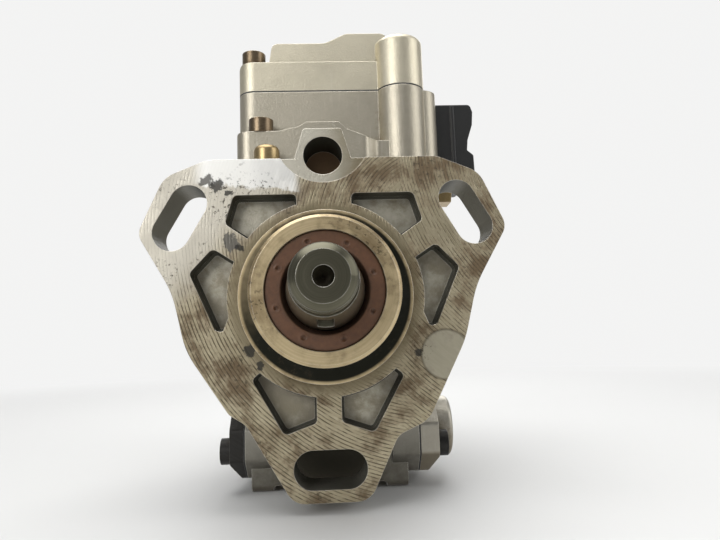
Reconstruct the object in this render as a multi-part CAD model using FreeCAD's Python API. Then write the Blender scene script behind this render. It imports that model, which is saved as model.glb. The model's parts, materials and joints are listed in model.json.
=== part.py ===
import FreeCAD, Part
import math
import os
from FreeCAD import Vector

# Diesel distributor injection pump with an electric quantity actuator on top.
# Millimetres. +X is right when one looks at the drive flange, +Y runs rearwards along the
# drive shaft, +Z is up. The origin is on the shaft axis in the flange's front face.

# Fits and clearances
running_fit = 0.05
press_fit = 0.02
free_gap = 0.3
cutter_reach = 100.0

# Flange, pilot and nose
flange_thickness = 15.3
flange_top = 42.0
flange_ear_half_width = 54.8
flange_ear_height = 20.0
flange_bottom = 58.2
pilot_radius = 25.0
pilot_length = 5.3
nose_radius = 19.6
nose_length = 24.7
slot_circle_radius = 49.1
slot_width = 11.0
slot_length = 21.0
slot_angles = (30.0, 150.0, 270.0)
pocket_depth = 6.0
pocket_floor_chamfer = 0.8
pocket_inner_radius = 29.0
boss_hole_radius = 5.9
boss_hole_depth = 15.0
boss_hole_height = 42.9
boss_top = 51.4
boss_top_half = 5.9
boss_length = 22.0
spot_face_radius = 14.5
spot_face_height = 49.0

# Pump body
cavity_radius = 32.0
cavity_front_wall = 1.5
body_wall = 5.5
deck_rise = 12.0
deck_step = 4.5
deck_left = 30.0
deck_right = 34.0
rear_flange_half = 36.5
rear_flange_corner = 9.0
rear_flange_depth = 11.0
foot_height = 61.5
foot_left = 26.3
foot_right = 25.4
foot_rib_width = 7.0
side_rib_width = 5.0
side_rib_height = 2.5
gusset_reach = 6.0
gusset_length = 16.0

# Drive shaft
shaft_radius = 10.0
taper_length = 22.3
taper_per_mm = 0.1
thread_radius = 7.0
thread_length = 10.0
thread_chamfer = 1.5
centre_drill_radius = 2.2
keyseat_width = 4.0
keyseat_length = 13.0
keyseat_depth = 3.6
bush_wall = 2.0
bush_front = -15.0
bush_rear = 12.0
seal_outer_radius = 15.5
seal_width = 7.0
seal_recess = 0.5
garter_radius = 12.4
garter_wire = 1.2

# Vane pump
vane_pump_width = 12.0
vane_side_gap = 0.15
rotor_radius = 20.0
pump_bore_radius = 23.0
pump_bore_offset = 2.8
vane_count = 4
vane_thickness = 2.4
vane_length = 8.0
plate_thickness = 4.0
rotor_key_width = 3.0
rotor_key_height = 3.0

# Claw coupling
fork_radius = 15.0
fork_thickness = 3.9
claw_width = 8.0
claw_inner_radius = 8.0
coupling_disc_thickness = 5.4

# Roller ring, rollers and face cam
ring_thickness = 17.2
ring_bore_radius = 17.0
roller_count = 4
roller_radius = 6.0
roller_length = 9.2
roller_track_radius = 24.1
roller_pin_radius = 2.0
roller_axis_inset = 2.4
cam_lift = 2.2
cam_lobe_count = 4
cam_lobe_radius = 20.0
cam_plate_radius = 31.0
cam_track_inner = 18.0
cam_plate_thickness = 7.0
cam_roller_gap = 0.25

# Plunger, springs and control collar
plunger_radius = 5.5
plunger_foot_radius = 13.0
plunger_foot_thickness = 3.0
plunger_end_gap = 5.6
bridge_thickness = 2.6
bridge_half_length = 25.5
bridge_half_width = 8.0
plunger_spring_offset = 18.5
plunger_spring_radius = 5.4
plunger_spring_wire = 1.6
plunger_spring_turns = 5
guide_pin_radius = 3.8
guide_pin_length = 11.0
collar_radius = 11.0
collar_width = 6.4
collar_groove_radius = 8.0
collar_end_gap = 1.3
crank_pin_offset = 3.5
crank_pin_radius = 1.8
actuator_half_angle = 30.0

# Distributor head
head_flange_thickness = 10.0
head_length = 24.0
head_body_radius = 27.0
head_spigot_length = 5.0
barrel_reach = 6.05
head_screw_offset = 29.0
head_screw_radius = 3.0
head_screw_head_radius = 5.0
head_screw_length = 20.0
barrel_radius = 11.0
barrel_gap = 1.5
barrel_rear_inset = 4.0
centre_plug_radius = 7.0
centre_plug_flats = 14.0
centre_plug_hex = 5.0
outlet_circle_radius = 19.0
outlet_count = 4
holder_thread_radius = 7.0
holder_flats = 17.0
holder_hex = 10.0
holder_union_radius = 6.0
holder_union_length = 23.0
holder_shank = 11.0
holder_bore_radius = 4.0
holder_spring_room = 5.3
outlet_bore_radius = 1.5
valve_seat_thickness = 4.0
valve_stem_radius = 2.5
valve_head_radius = 3.6
valve_head_length = 3.0
valve_guide_radius = 1.8
valve_guide_length = 4.0
valve_spring_wire = 0.7

# Shut-off solenoid
shutoff_inset = 15.0
shutoff_hex_flats = 19.0
shutoff_hex = 4.0
shutoff_stud_radius = 2.0
shutoff_stud = 7.0
shutoff_top_wall = 8.0
shutoff_radius = 10.0
shutoff_thread_radius = 6.0
shutoff_seat_height = 37.0
shutoff_height = 24.0
shutoff_bore_radius = 3.0
shutoff_plunger_length = 20.0
shutoff_spring_wire = 0.8

# Timing device
timing_y = 45.0
timing_height = -44.5
timing_piston_radius = 10.45
timing_piston_length = 38.0
timing_travel = 9.0
timing_block_left = 28.0
timing_block_right = 29.2
timing_block_half = 19.0
timing_block_radius = 14.0
timing_spring_radius = 6.5
timing_spring_wire = 1.6
timing_recess_radius = 7.9
timing_recess_depth = 8.0
slide_block_radius = 6.0
slide_block_length = 12.0
advance_pin_radius = 3.0
advance_pin_reach = 49.0
timing_screw_y = 14.6
timing_screw_z = 3.55
timing_screw_radius = 2.5
timing_screw_head_radius = 4.25
timing_screw_head = 3.2
timing_screw_grip = 12.0
timing_gasket = 0.5
timing_cover_left_thickness = 4.5
timing_cover_right_thickness = 6.1
timing_cover_bottom = 57.6
timing_cover_rise = 13.0
timing_upper_facet = 9.5
timing_lower_facet = 6.8
timing_bevel_depth = 3.2
timing_bevel_height = 5.4
timing_dome_radius = 10.5
timing_dome_length = 6.6
timing_dome_wall = 2.0

# Timing solenoid valve
timing_valve_x = 8.0
timing_valve_nose_radius = 6.0
timing_valve_nose = 5.0
timing_valve_coil_radius = 12.0
timing_valve_hex = 4.5
timing_valve_hex_flats = 19.0
timing_valve_inlet_radius = 1.2
timing_valve_coil_length = 26.0
timing_valve_tube_radius = 5.0
timing_valve_end_wall = 2.5
timing_valve_round = 1.5
valve_plug_reach = 23.0
valve_plug_half = 7.0
valve_plug_depth = 14.0
valve_plug_wall = 1.6
valve_plug_socket = 9.0
timing_needle_radius = 2.5
timing_needle_length = 22.0

# Pressure valve and fuel unions
pressure_valve_x = -18.8
pressure_valve_y = 19.8
pressure_plug_radius = 4.25
pressure_plug_head = 7.4
pressure_plug_round = 1.9
pressure_plug_socket = 2.0
pressure_plug_shank = 4.5
pressure_piston_radius = 3.0
pressure_piston_length = 6.0
pressure_spring_length = 6.4
pressure_spring_wire = 0.7
inlet_y = 33.0
inlet_below_deck = 8.2
inlet_flats = 14.0
inlet_hex = 10.4
inlet_thread_radius = 6.0
inlet_shank = 10.0
inlet_bore_radius = 4.2
return_x = 22.0
return_above_deck = 15.5
return_flats = 14.0
return_hex = 6.0
return_pipe_radius = 4.0
return_length = 18.0

# Actuator housing, cover and connector; a rise is a height above the deck
base_front = 24.3
base_left = 30.0
base_flange_right = 15.0
base_setback = 4.2
base_flange_rise = 7.5
base_pad_rise = 10.0
base_pad_right = 15.0
hump_rise = 13.1
hump_half_width = 5.7
hump_foot = 8.2
unit_front = 32.5
unit_overhang = 3.0
unit_left = 30.3
unit_right = 42.2
cover_right = 36.5
unit_wall = 4.0
unit_floor = 4.5
unit_corner = 6.0
parting_rise = 27.5
cover_gasket_thickness = 0.5
cover_ledge_rise = 38.9
cover_plateau_rise = 46.7
cover_peak_rise = 50.4
cover_step = 1.5
column_x = 28.7
column_y = 35.5
column_radius = 8.8
column_rise = 47.1
unit_screw_radius = 2.5
unit_screw_head_radius = 4.25
unit_screw_head = 5.0
unit_screw_grip = 14.0
unit_boss_radius = 4.6
cover_screw_side = 5.45
cover_screw_end = 5.0
cover_screw_middle = 18.5
screw_socket_flats = 4.0
connector_flange = 3.5
connector_shroud = 15.2
connector_front = 43.0
connector_rear = 75.0
connector_drop = 2.5
connector_rise = 26.0
connector_wall = 3.2
connector_floor = 1.0
connector_waist = ((0.30, 0.5, 0.8), (0.37, 2.8, 0.5), (0.51, 2.4, 3.0), (0.72, 0.4, 3.0), (0.90, 0.0, 1.0))
pin_count = 7
pin_length = 8.0

# Torque motor of the quantity actuator
core_half = 16.5
core_leg = 5.6
core_rise = 8.5
core_height = 16.0
magnet_radius = 9.0
magnet_gap = 0.5
coil_half_width = 9.8
coil_front_gap = 2.7
actuator_shaft_radius = 3.0
crank_disc_radius = 6.0
crank_disc_thickness = 3.0
bearing_outer_radius = 6.0
bearing_width = 4.0
bridge_plate = 1.6
sensor_height = 5.0

# Places worked out from the sizes above
cavity_front = flange_thickness + cavity_front_wall
body_radius = cavity_radius + body_wall
deck_height = body_radius + deck_rise
step_height = deck_height - deck_step
bush_outer_radius = shaft_radius + running_fit + bush_wall
shaft_front = -(nose_length + taper_length + thread_length)
seal_front = -nose_length + seal_recess
seal_rear = seal_front + seal_width
vane_pump_rear = cavity_front + vane_pump_width
plate_rear = vane_pump_rear + plate_thickness
ring_front = plate_rear + free_gap
ring_rear = ring_front + ring_thickness
ring_radius = cavity_radius - free_gap
roller_y = ring_rear - roller_axis_inset
cam_top = roller_y + roller_radius + cam_roller_gap
cam_valley = cam_top + cam_lift
cam_rear = cam_valley + cam_plate_thickness
foot_rear = cam_rear + plunger_foot_thickness
bridge_front = foot_rear + free_gap
bridge_rear = bridge_front + bridge_thickness
collar_half_travel = crank_pin_offset * math.sin(math.radians(actuator_half_angle))
collar_middle = bridge_rear + collar_end_gap + collar_half_travel + collar_width / 2
collar_rest = collar_middle - collar_half_travel
barrel_front = collar_middle + collar_half_travel + collar_width / 2 + barrel_gap
spigot_front = barrel_front + barrel_reach
housing_length = spigot_front + head_spigot_length
head_rear = housing_length + head_length
head_flange_rear = housing_length + head_flange_thickness
barrel_rear = head_rear - barrel_rear_inset
plunger_rear = barrel_rear - plunger_end_gap
shutoff_y = housing_length + shutoff_inset
fork_front = plate_rear + free_gap
fork_rear = fork_front + fork_thickness
coupling_front = fork_rear + free_gap
coupling_rear = coupling_front + coupling_disc_thickness
claw_floor = math.sqrt(claw_inner_radius ** 2 - (claw_width / 2) ** 2)
timing_bore_radius = timing_piston_radius + running_fit
timing_rest_x = -timing_travel / 2
pin_rest_tilt = math.degrees(math.atan2(timing_travel / 2, -timing_height))
timing_block_front = timing_y - timing_block_half
timing_block_rear = timing_y + timing_block_half
timing_valve_z = -foot_height + timing_valve_coil_radius
unit_rear = housing_length + unit_overhang
unit_floor_top = deck_height + unit_floor
base_flange_top = deck_height + base_flange_rise
base_pad_top = deck_height + base_pad_rise
parting_height = deck_height + parting_rise
parting_top = parting_height + cover_gasket_thickness
cover_ledge = deck_height + cover_ledge_rise
cover_plateau = deck_height + cover_plateau_rise
cover_peak = deck_height + cover_peak_rise
column_top = deck_height + column_rise
inlet_height = deck_height - inlet_below_deck
return_height = deck_height + return_above_deck
connector_reach = unit_right + connector_shroud
connector_bottom = deck_height - connector_drop
connector_top = deck_height + connector_rise
connector_cavity = unit_right + connector_flange + connector_floor
core_bottom = deck_height + core_rise
core_top = core_bottom + core_height
actuator_y = collar_middle
valve_seat_rear = head_rear - holder_shank
valve_seat_front = valve_seat_rear - valve_seat_thickness
spring_chamber_end = head_rear + holder_spring_room
deck_screws = ((-21.5, 28.0), (-21.2, actuator_y), (22.5, actuator_y), (22.5, 44.0))
cover_screws = ((-unit_left + cover_screw_side, unit_front + cover_screw_end),
                (-unit_left + cover_screw_side, unit_rear - cover_screw_end),
                (cover_right - cover_screw_side, unit_front + cover_screw_middle),
                (cover_right - cover_screw_side, unit_rear - cover_screw_end))
head_screw_places = tuple((sx * head_screw_offset, sz * head_screw_offset)
                          for sx in (-1, 1) for sz in (-1, 1))
outlet_places = tuple((outlet_circle_radius * math.cos(math.radians(45 + 360 / outlet_count * i)),
                       outlet_circle_radius * math.sin(math.radians(45 + 360 / outlet_count * i)))
                      for i in range(outlet_count))
timing_screw_places = tuple((timing_y + side * timing_screw_y, timing_height + side * timing_screw_z)
                            for side in (-1, 1))


def point(axis, along, u, v):
    """A point given by its place along an axis and its two other coordinates."""
    if axis == "X":
        return Vector(along, u, v)
    if axis == "Y":
        return Vector(u, along, v)
    return Vector(u, v, along)


def direction(axis):
    return point(axis, 1, 0, 0)


def cylinder(axis, radius, start, end, u=0.0, v=0.0):
    return Part.makeCylinder(radius, end - start, point(axis, start, u, v), direction(axis))


def cone(axis, radius_start, radius_end, start, end, u=0.0, v=0.0):
    base = point(axis, start, u, v)
    return Part.makeCone(radius_start, radius_end, end - start, base, direction(axis))


def tube(axis, outer, inner, start, end, u=0.0, v=0.0):
    return cylinder(axis, outer, start, end, u, v).cut(cylinder(axis, inner, start, end, u, v))


def block(x0, x1, y0, y1, z0, z1):
    return Part.makeBox(x1 - x0, y1 - y0, z1 - z0, Vector(x0, y0, z0))


def fuse(solids):
    return solids[0].fuse(solids[1:]).removeSplitter()


def rounded_wire(axis, corners, along):
    """A closed outline through corners (u, v, radius), each corner rounded by its radius."""
    edges = []
    count = len(corners)
    ends = []
    for i in range(count):
        u, v, radius = corners[i]
        before = corners[i - 1]
        after = corners[(i + 1) % count]
        here = Vector(u, v, 0)
        back = Vector(before[0] - u, before[1] - v, 0).normalize()
        ahead = Vector(after[0] - u, after[1] - v, 0).normalize()
        half = back.getAngle(ahead) / 2
        if radius <= 0 or half > math.pi / 2 - 0.001:
            ends.append((here, here, None))
            continue
        reach = radius / math.tan(half)
        middle = (back + ahead).normalize() * (radius / math.sin(half) - radius)
        ends.append((here + back * reach, here + ahead * reach, here + middle))
    for i in range(count):
        first, last, middle = ends[i]
        following = ends[(i + 1) % count][0]
        corner_points = [point(axis, along, p.x, p.y) for p in (first, last, following)]
        if middle is not None:
            crown = point(axis, along, middle.x, middle.y)
            edges.append(Part.Arc(corner_points[0], crown, corner_points[1]).toShape())
        if corner_points[1].distanceToPoint(corner_points[2]) > 1e-6:
            edges.append(Part.LineSegment(corner_points[1], corner_points[2]).toShape())
    return Part.Wire(edges)


def rounded_prism(axis, corners, start, end):
    face = Part.Face(rounded_wire(axis, corners, start))
    return face.extrude(direction(axis) * (end - start))


def rectangle(u0, u1, v0, v1, radius):
    return [(u0, v0, radius), (u1, v0, radius), (u1, v1, radius), (u0, v1, radius)]


def hexagon(axis, flats, start, end, u=0.0, v=0.0):
    corners = []
    for i in range(6):
        angle = math.radians(60 * i)
        corner = flats / math.sqrt(3)
        corners.append((u + corner * math.cos(angle), v + corner * math.sin(angle), 0))
    return rounded_prism(axis, corners, start, end)


def revolve(profile):
    """A turned solid about the shaft axis, from (radius, y) points."""
    points = [Vector(radius, y, 0) for radius, y in profile]
    face = Part.Face(Part.makePolygon(points + points[:1]))
    return face.revolve(Vector(0, 0, 0), Vector(0, 1, 0), 360)


def turned_to(shape, angle):
    """Turns a shape about the shaft axis so that its +X side points to an angle above +X."""
    turned = shape.copy()
    turned.rotate(Vector(0, 0, 0), Vector(0, 1, 0), -angle)
    return turned


def radial_cylinder(radius, start, end, y, angle):
    return turned_to(cylinder("X", radius, start, end, y, 0.0), angle)


def spring(axis, mean_radius, wire, start, end, turns, u=0.0, v=0.0):
    """A compression spring of square wire between two seats."""
    length = end - start - wire
    helix = Part.makeHelix(length / turns, length, mean_radius)
    half = wire / 2
    corners = [Vector(mean_radius + a * half, 0, b * half) for a, b in ((-1, -1), (1, -1), (1, 1), (-1, 1))]
    section = Part.makePolygon(corners + corners[:1])
    coil = Part.Wire(helix).makePipeShell([section], True, True)
    coil.translate(Vector(0, 0, half))
    if axis == "X":
        coil.rotate(Vector(0, 0, 0), Vector(0, 1, 0), 90)
    if axis == "Y":
        coil.rotate(Vector(0, 0, 0), Vector(1, 0, 0), -90)
    coil.translate(point(axis, start, u, v))
    return coil


def cap_screw(axis, seat, away, radius, head_radius, head, grip, u, v):
    """A socket cap screw whose head stands on a seat, away from the joint (+1 or -1 along the axis)."""
    head_end = seat + away * head
    tip = seat - away * grip
    solid = fuse([cylinder(axis, head_radius, min(seat, head_end), max(seat, head_end), u, v),
                  cylinder(axis, radius, min(seat, tip), max(seat, tip), u, v)])
    socket_floor = head_end - away * head * 0.55
    low = min(head_end, socket_floor)
    high = max(head_end, socket_floor)
    return solid.cut(hexagon(axis, screw_socket_flats * head_radius / unit_screw_head_radius, low, high, u, v))


def mirrored(corners):
    """Corners of the right half, with their mirror images, as one closed outline."""
    return corners + [(-u, v, radius) for u, v, radius in reversed(corners)]


def flange_slot(angle):
    half_width = slot_width / 2
    half_length = slot_length / 2
    outline = rectangle(slot_circle_radius - half_width, slot_circle_radius + half_width,
                        -half_length, half_length, half_width - 0.001)
    return turned_to(rounded_prism("Y", outline, -1.0, flange_thickness + 1.0), angle)


def flange_pockets():
    upper = [(8.2, 24.0, 0), (20.0, 16.0, 0), (29.4, 22.4, 1.6), (26.8, 31.0, 1.8), (8.2, 31.0, 1.4)]
    side = [(26.0, 1.0, 0), (30.2, -9.4, 1.0), (32.4, -8.8, 1.0), (39.8, 8.0, 1.8), (33.0, 15.2, 1.8), (25.0, 10.0, 0)]
    lower = [(3.6, -26.0, 0), (3.6, -36.0, 1.4), (12.9, -39.2, 1.8), (22.0, -23.2, 1.4), (18.0, -20.0, 0)]
    core = cylinder("Y", pocket_inner_radius, -1.0, pocket_depth + 1.0)
    pockets = []
    for outline in (upper, side, lower):
        right = rounded_prism("Y", outline, 0.0, pocket_depth).cut(core).Solids[0]
        floor = [e for e in right.Edges if all(abs(v.Y - pocket_depth) < 0.01 for v in e.Vertexes)]
        right = right.makeChamfer(pocket_floor_chamfer, floor)
        pockets.append(right)
        pockets.append(right.mirror(Vector(0, 0, 0), Vector(1, 0, 0)))
    return pockets


def flange_casting():
    ears = mirrored([
        (44.6, 2.4, 30.0),
        (flange_ear_half_width, flange_ear_height, 5.0),
        (47.2, flange_top - 5.2, 8.0),
        (34.5, flange_top, 8.0)])
    left_foot = [(-40.8, -14.5, 25.0), (-28.6, -32.8, 3.0), (-23.9, -35.8, 4.0), (-10.6, -flange_bottom, 6.0)]
    right_foot = [(11.0, -flange_bottom, 6.0), (19.6, -40.3, 5.0), (28.6, -36.4, 8.0), (40.5, -13.5, 30.0)]
    outline = ears + left_foot + right_foot
    plate = rounded_prism("Y", outline, 0.0, flange_thickness)
    boss = rounded_prism("Y", mirrored([(9.3, flange_top - 6.0, 0), (8.6, flange_top, 0), (boss_top_half, boss_top, 1.0)]),
                         0.0, boss_length)
    pilot = cylinder("Y", pilot_radius, -pilot_length, 0.5)
    nose = cylinder("Y", nose_radius, -nose_length, 0.5)
    nose_edge = nose.makeChamfer(0.8, [e for e in nose.Edges if abs(e.CenterOfMass.y + nose_length) < 0.01
                                       and e.Length > 10])
    return fuse([plate, boss, pilot, nose_edge])


def timing_casting():
    """The cross tube under the body for the timing piston, with its end pads and the cast foot."""
    barrel = cylinder("X", timing_block_radius, -timing_block_left, timing_block_right, timing_y, timing_height)
    left_pad = rounded_prism("X", cover_outline(), -timing_block_left, -timing_block_left + 9.0)
    right_pad = rounded_prism("X", cover_outline(), timing_block_right - 9.0, timing_block_right)
    neck = block(-22.0, 22.0, timing_block_front + 3.5, timing_block_rear, timing_height, -28.0)
    slab_side = rectangle(timing_block_front + 3.0, timing_block_rear, -foot_height, timing_height, 2.5)
    slab = rounded_prism("X", slab_side, -foot_left, foot_right)
    relief = rounded_prism("Y", rectangle(-foot_left + foot_rib_width, foot_right - foot_rib_width,
                                          -foot_height - 5.0, -foot_height + 2.0, 1.5),
                           timing_block_front - 1.0, timing_block_rear - foot_rib_width)
    return fuse([barrel, left_pad, right_pad, neck, slab]).cut(relief)


def side_ribs():
    """A rib along each side of the body, with a gusset where it meets the flange."""
    ribs = []
    inner = body_radius - side_rib_height
    outer = body_radius + side_rib_height
    half = side_rib_width / 2
    start = flange_thickness - 1.0
    for side in (-1, 1):
        left, right = sorted((side * inner, side * outer))
        ribs.append(rounded_prism("Y", rectangle(left, right, -half, half, 1.2), start, housing_length - 1.0))
        ribs.append(rounded_prism("Z", [(side * inner, start, 0), (side * (body_radius + gusset_reach), start, 0),
                                        (side * inner, start + gusset_length, 0)], -half, half))
    return ribs


def deck_outline(top):
    return [(-deck_left, 0.0, 0), (deck_right, 0.0, 0), (deck_right, top, 3.0), (-deck_left, top, 3.0)]


def body_casting():
    barrel = cylinder("Y", body_radius, flange_thickness - 1.0, housing_length)
    deck = rounded_prism("Y", deck_outline(deck_height), base_front, housing_length)
    step = rounded_prism("Y", deck_outline(step_height), flange_thickness - 1.0, base_front + 1.0)
    half = rear_flange_half
    rear = rounded_prism("Y", rectangle(-half, half, -half, half, rear_flange_corner),
                         housing_length - rear_flange_depth, housing_length)
    return fuse([barrel, deck, step, rear] + side_ribs())


def housing_bores():
    bush_bore = bush_outer_radius + press_fit
    cuts = [
        cylinder("Y", bush_bore, bush_front - press_fit, cavity_front + 1.0),
        cylinder("Y", seal_outer_radius, -nose_length - 1.0, seal_rear + press_fit),
        cylinder("Y", bush_bore - 1.0, seal_rear - 1.0, bush_front + 1.0),
        cylinder("Y", cavity_radius, cavity_front, housing_length + 1.0),
        block(-14.0, 14.0, actuator_y - 13.5, housing_length - 4.0, 0.0, deck_height + 1.0),
        cylinder("X", timing_bore_radius, -timing_block_left - 1.0, timing_block_right + 1.0, timing_y,
                 timing_height),
        block(-7.2, 7.2, timing_y - advance_pin_radius - 0.4, timing_y + advance_pin_radius + 0.4,
              timing_height + timing_bore_radius - 2.0, -cavity_radius + 3.0),
        cylinder("Y", timing_valve_nose_radius + press_fit, timing_block_rear - timing_valve_nose - press_fit,
                 timing_block_rear + 1.0, timing_valve_x, timing_valve_z),
        cylinder("X", inlet_thread_radius + press_fit, deck_right - inlet_shank - press_fit, deck_right + 1.0,
                 inlet_y, inlet_height),
        cylinder("Z", 2.5, cavity_radius * 0.6, inlet_height, deck_right - inlet_shank - 1.0, inlet_y),
        cylinder("X", 2.5, deck_right - inlet_shank - 1.0, deck_right - inlet_shank + 1.0, inlet_y, inlet_height),
    ]
    valve = (pressure_valve_x, pressure_valve_y)
    shank_bottom = step_height - pressure_plug_shank
    chamber_bottom = shank_bottom - pressure_spring_length - pressure_piston_length - press_fit
    cuts += [
        cylinder("Z", pressure_plug_radius - 0.25 + press_fit, shank_bottom - press_fit, step_height + 1.0, *valve),
        cylinder("Z", pressure_piston_radius + running_fit, chamber_bottom, shank_bottom, *valve),
        cylinder("Z", 1.5, cavity_radius * 0.6, chamber_bottom + 0.1, *valve),
    ]
    for x, y in deck_screws:
        cuts.append(cylinder("Z", unit_screw_radius + press_fit, deck_height - unit_screw_grip + 4.0,
                             deck_height + 1.0, x, y))
    for x, z in head_screw_places:
        cuts.append(cylinder("Y", head_screw_radius + press_fit, housing_length - head_screw_length +
                             head_flange_thickness - 0.5, housing_length + 1.0, x, z))
    for y, z in timing_screw_places:
        reach = timing_screw_grip + 1.0
        cuts.append(cylinder("X", timing_screw_radius + press_fit, -timing_block_left - 1.0,
                             -timing_block_left + reach, y, z))
        cuts.append(cylinder("X", timing_screw_radius + press_fit, timing_block_right - reach,
                             timing_block_right + 1.0, y, z))
    return cuts


def pump_housing():
    casting = fuse([flange_casting(), body_casting(), timing_casting()])
    cuts = housing_bores() + flange_pockets() + [flange_slot(angle) for angle in slot_angles]
    cuts.append(cylinder("Y", boss_hole_radius, -1.0, boss_hole_depth, 0.0, boss_hole_height))
    cuts.append(cylinder("Y", spot_face_radius, -1.0, 0.5, 0.0, spot_face_height).cut(
        cylinder("Y", pocket_inner_radius, -2.0, 1.0)))
    return casting.cut(cuts)


def shaft_bush():
    return tube("Y", bush_outer_radius, shaft_radius + running_fit, bush_front, bush_rear)


def drive_shaft():
    """The shaft with its two claws, and the key that drives the vane pump's rotor."""
    taper_small = shaft_radius - taper_per_mm * taper_length
    rotor_end = fork_front
    turned = revolve([
        (0, shaft_front), (thread_radius - thread_chamfer, shaft_front),
        (thread_radius, shaft_front + thread_chamfer), (thread_radius, shaft_front + thread_length),
        (taper_small, shaft_front + thread_length), (shaft_radius, -nose_length),
        (shaft_radius, rotor_end), (fork_radius, rotor_end), (fork_radius, fork_rear), (0, fork_rear)])
    claws = block(-fork_radius, fork_radius, fork_rear - 0.5, coupling_rear - free_gap,
                  -claw_width / 2, claw_width / 2)
    claws = claws.common(tube("Y", fork_radius, claw_inner_radius, fork_rear - 0.5, coupling_rear))
    keyseat_middle = -nose_length - taper_length / 2
    keyseat = block(-keyseat_width / 2, keyseat_width / 2, keyseat_middle - keyseat_length / 2,
                    keyseat_middle + keyseat_length / 2, -shaft_radius - 1.0,
                    -(taper_small + shaft_radius) / 2 + keyseat_depth)
    drill = cylinder("Y", centre_drill_radius, shaft_front - 1.0, shaft_front + 5.0)
    rotor_seat = rotor_keyway(press_fit)
    shaft = fuse([turned] + claws.Solids).cut([keyseat, drill, rotor_seat])
    return Part.makeCompound([shaft, rotor_keyway(0.0)])


def rotor_keyway(gap):
    half = rotor_key_width / 2 + gap
    return block(-half, half, cavity_front + 1.5 - gap, vane_pump_rear - 1.5 + gap,
                 shaft_radius - rotor_key_height / 2 - gap, shaft_radius + rotor_key_height / 2 + gap)


def vane_slot(index, gap):
    half = vane_thickness / 2 + gap
    slot = block(rotor_radius - vane_length - 0.2 - gap, rotor_radius - 0.2 + gap * 20, cavity_front + vane_side_gap,
                 vane_pump_rear - vane_side_gap, -half, half)
    return turned_to(slot, 45 + 360 / vane_count * index)


def vane_pump_rotor():
    body = tube("Y", rotor_radius, shaft_radius + press_fit, cavity_front + vane_side_gap,
                vane_pump_rear - vane_side_gap)
    return body.cut([rotor_keyway(press_fit)] + [vane_slot(i, running_fit) for i in range(vane_count)])


def vane_pump_vanes():
    return Part.makeCompound([vane_slot(i, 0.0) for i in range(vane_count)])


def vane_pump_ring():
    outer = cylinder("Y", cavity_radius - press_fit * 4, cavity_front, vane_pump_rear)
    return outer.cut(cylinder("Y", pump_bore_radius, cavity_front, vane_pump_rear, pump_bore_offset, 0.0))


def vane_pump_plate():
    plate = tube("Y", cavity_radius - press_fit * 4, shaft_radius + free_gap, vane_pump_rear, plate_rear)
    ports = []
    for side in (0, 180):
        port = tube("Y", 18.0, 14.0, vane_pump_rear, plate_rear).common(
            block(11.0, 19.0, vane_pump_rear, plate_rear, -9.0, 9.0))
        ports.append(turned_to(port, side + 90))
    return plate.cut(ports)


def shaft_seal():
    """The lip seal with the garter spring that holds its lip to the shaft."""
    lip = shaft_radius + running_fit
    rim = seal_outer_radius - press_fit
    seal = revolve([(lip + 1.2, seal_front), (rim, seal_front), (rim, seal_rear), (rim - 1.8, seal_rear),
                    (rim - 1.8, seal_front + 2.2), (garter_radius - garter_wire / 2 - 0.1, seal_front + 2.2),
                    (garter_radius - garter_wire / 2 - 0.1, seal_rear - 1.2), (lip, seal_rear - 1.2),
                    (lip, seal_front + 3.6)])
    return Part.makeCompound([seal, garter_spring()])


def garter_spring():
    middle = seal_rear - 2.6
    half = garter_wire / 2
    return tube("Y", garter_radius + half, garter_radius - half, middle - half, middle + half)


def coupling_disc():
    """The cross piece between the shaft's claws (left and right) and the cam plate's (top and bottom)."""
    body = tube("Y", fork_radius - press_fit * 10, 5.0, coupling_front, coupling_rear)
    half = claw_width / 2 + running_fit
    reach = fork_radius + 1.0
    floor = claw_floor - running_fit
    cuts = []
    for angle in (0, 90, 180, 270):
        cuts.append(turned_to(block(floor, reach, coupling_front - 1.0, coupling_rear + 1.0, -half, half), angle))
    return body.cut(cuts)


def cam_plate():
    """The face cam: a disc with a round-crested lobe for each delivery, facing the rollers."""
    disc = cylinder("Y", cam_plate_radius, cam_valley, cam_rear)
    track = tube("Y", cam_plate_radius, cam_track_inner, cam_top - 1.0, cam_valley + 1.0)
    pieces = [disc]
    for i in range(cam_lobe_count):
        angle = roller_angle(0) + 360 / cam_lobe_count * i
        crest = radial_cylinder(cam_lobe_radius, 1.0, cam_plate_radius + 2.0, cam_top + cam_lobe_radius, angle)
        pieces.append(crest.common(track))
    claw_front = coupling_front + free_gap
    claws = block(-claw_width / 2, claw_width / 2, claw_front, cam_valley + 0.5, -fork_radius, fork_radius)
    claws = claws.common(tube("Y", fork_radius, claw_inner_radius, claw_front, cam_valley + 1.0))
    pieces += claws.Solids
    return fuse(pieces)


def roller_angle(index):
    return -90.0 - pin_rest_tilt + 360 / roller_count * (index + 0.5)


def roller_ring():
    """The ring that carries the rollers between its bore and its rim, each on a pressed-in pin."""
    ring = tube("Y", ring_radius, ring_bore_radius, ring_front, ring_rear)
    half = roller_length / 2 + 0.2
    side = roller_radius + free_gap
    cuts = [radial_cylinder(advance_pin_radius + press_fit, ring_bore_radius - 1.0 + 4.0, ring_radius + 1.0,
                            timing_y, -90.0 - pin_rest_tilt)]
    for i in range(roller_count):
        pocket = block(roller_track_radius - half, roller_track_radius + half, roller_y - side, ring_rear + 1.0,
                       -side, side)
        cuts.append(turned_to(pocket, roller_angle(i)))
        cuts.append(radial_cylinder(roller_pin_radius + press_fit, ring_bore_radius - 1.0, ring_radius + 1.0,
                                    roller_y, roller_angle(i)))
    pins = [radial_cylinder(roller_pin_radius, ring_bore_radius + 0.2, ring_radius - 0.2, roller_y,
                            roller_angle(i)) for i in range(roller_count)]
    return Part.makeCompound([ring.cut(cuts)] + pins)


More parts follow.
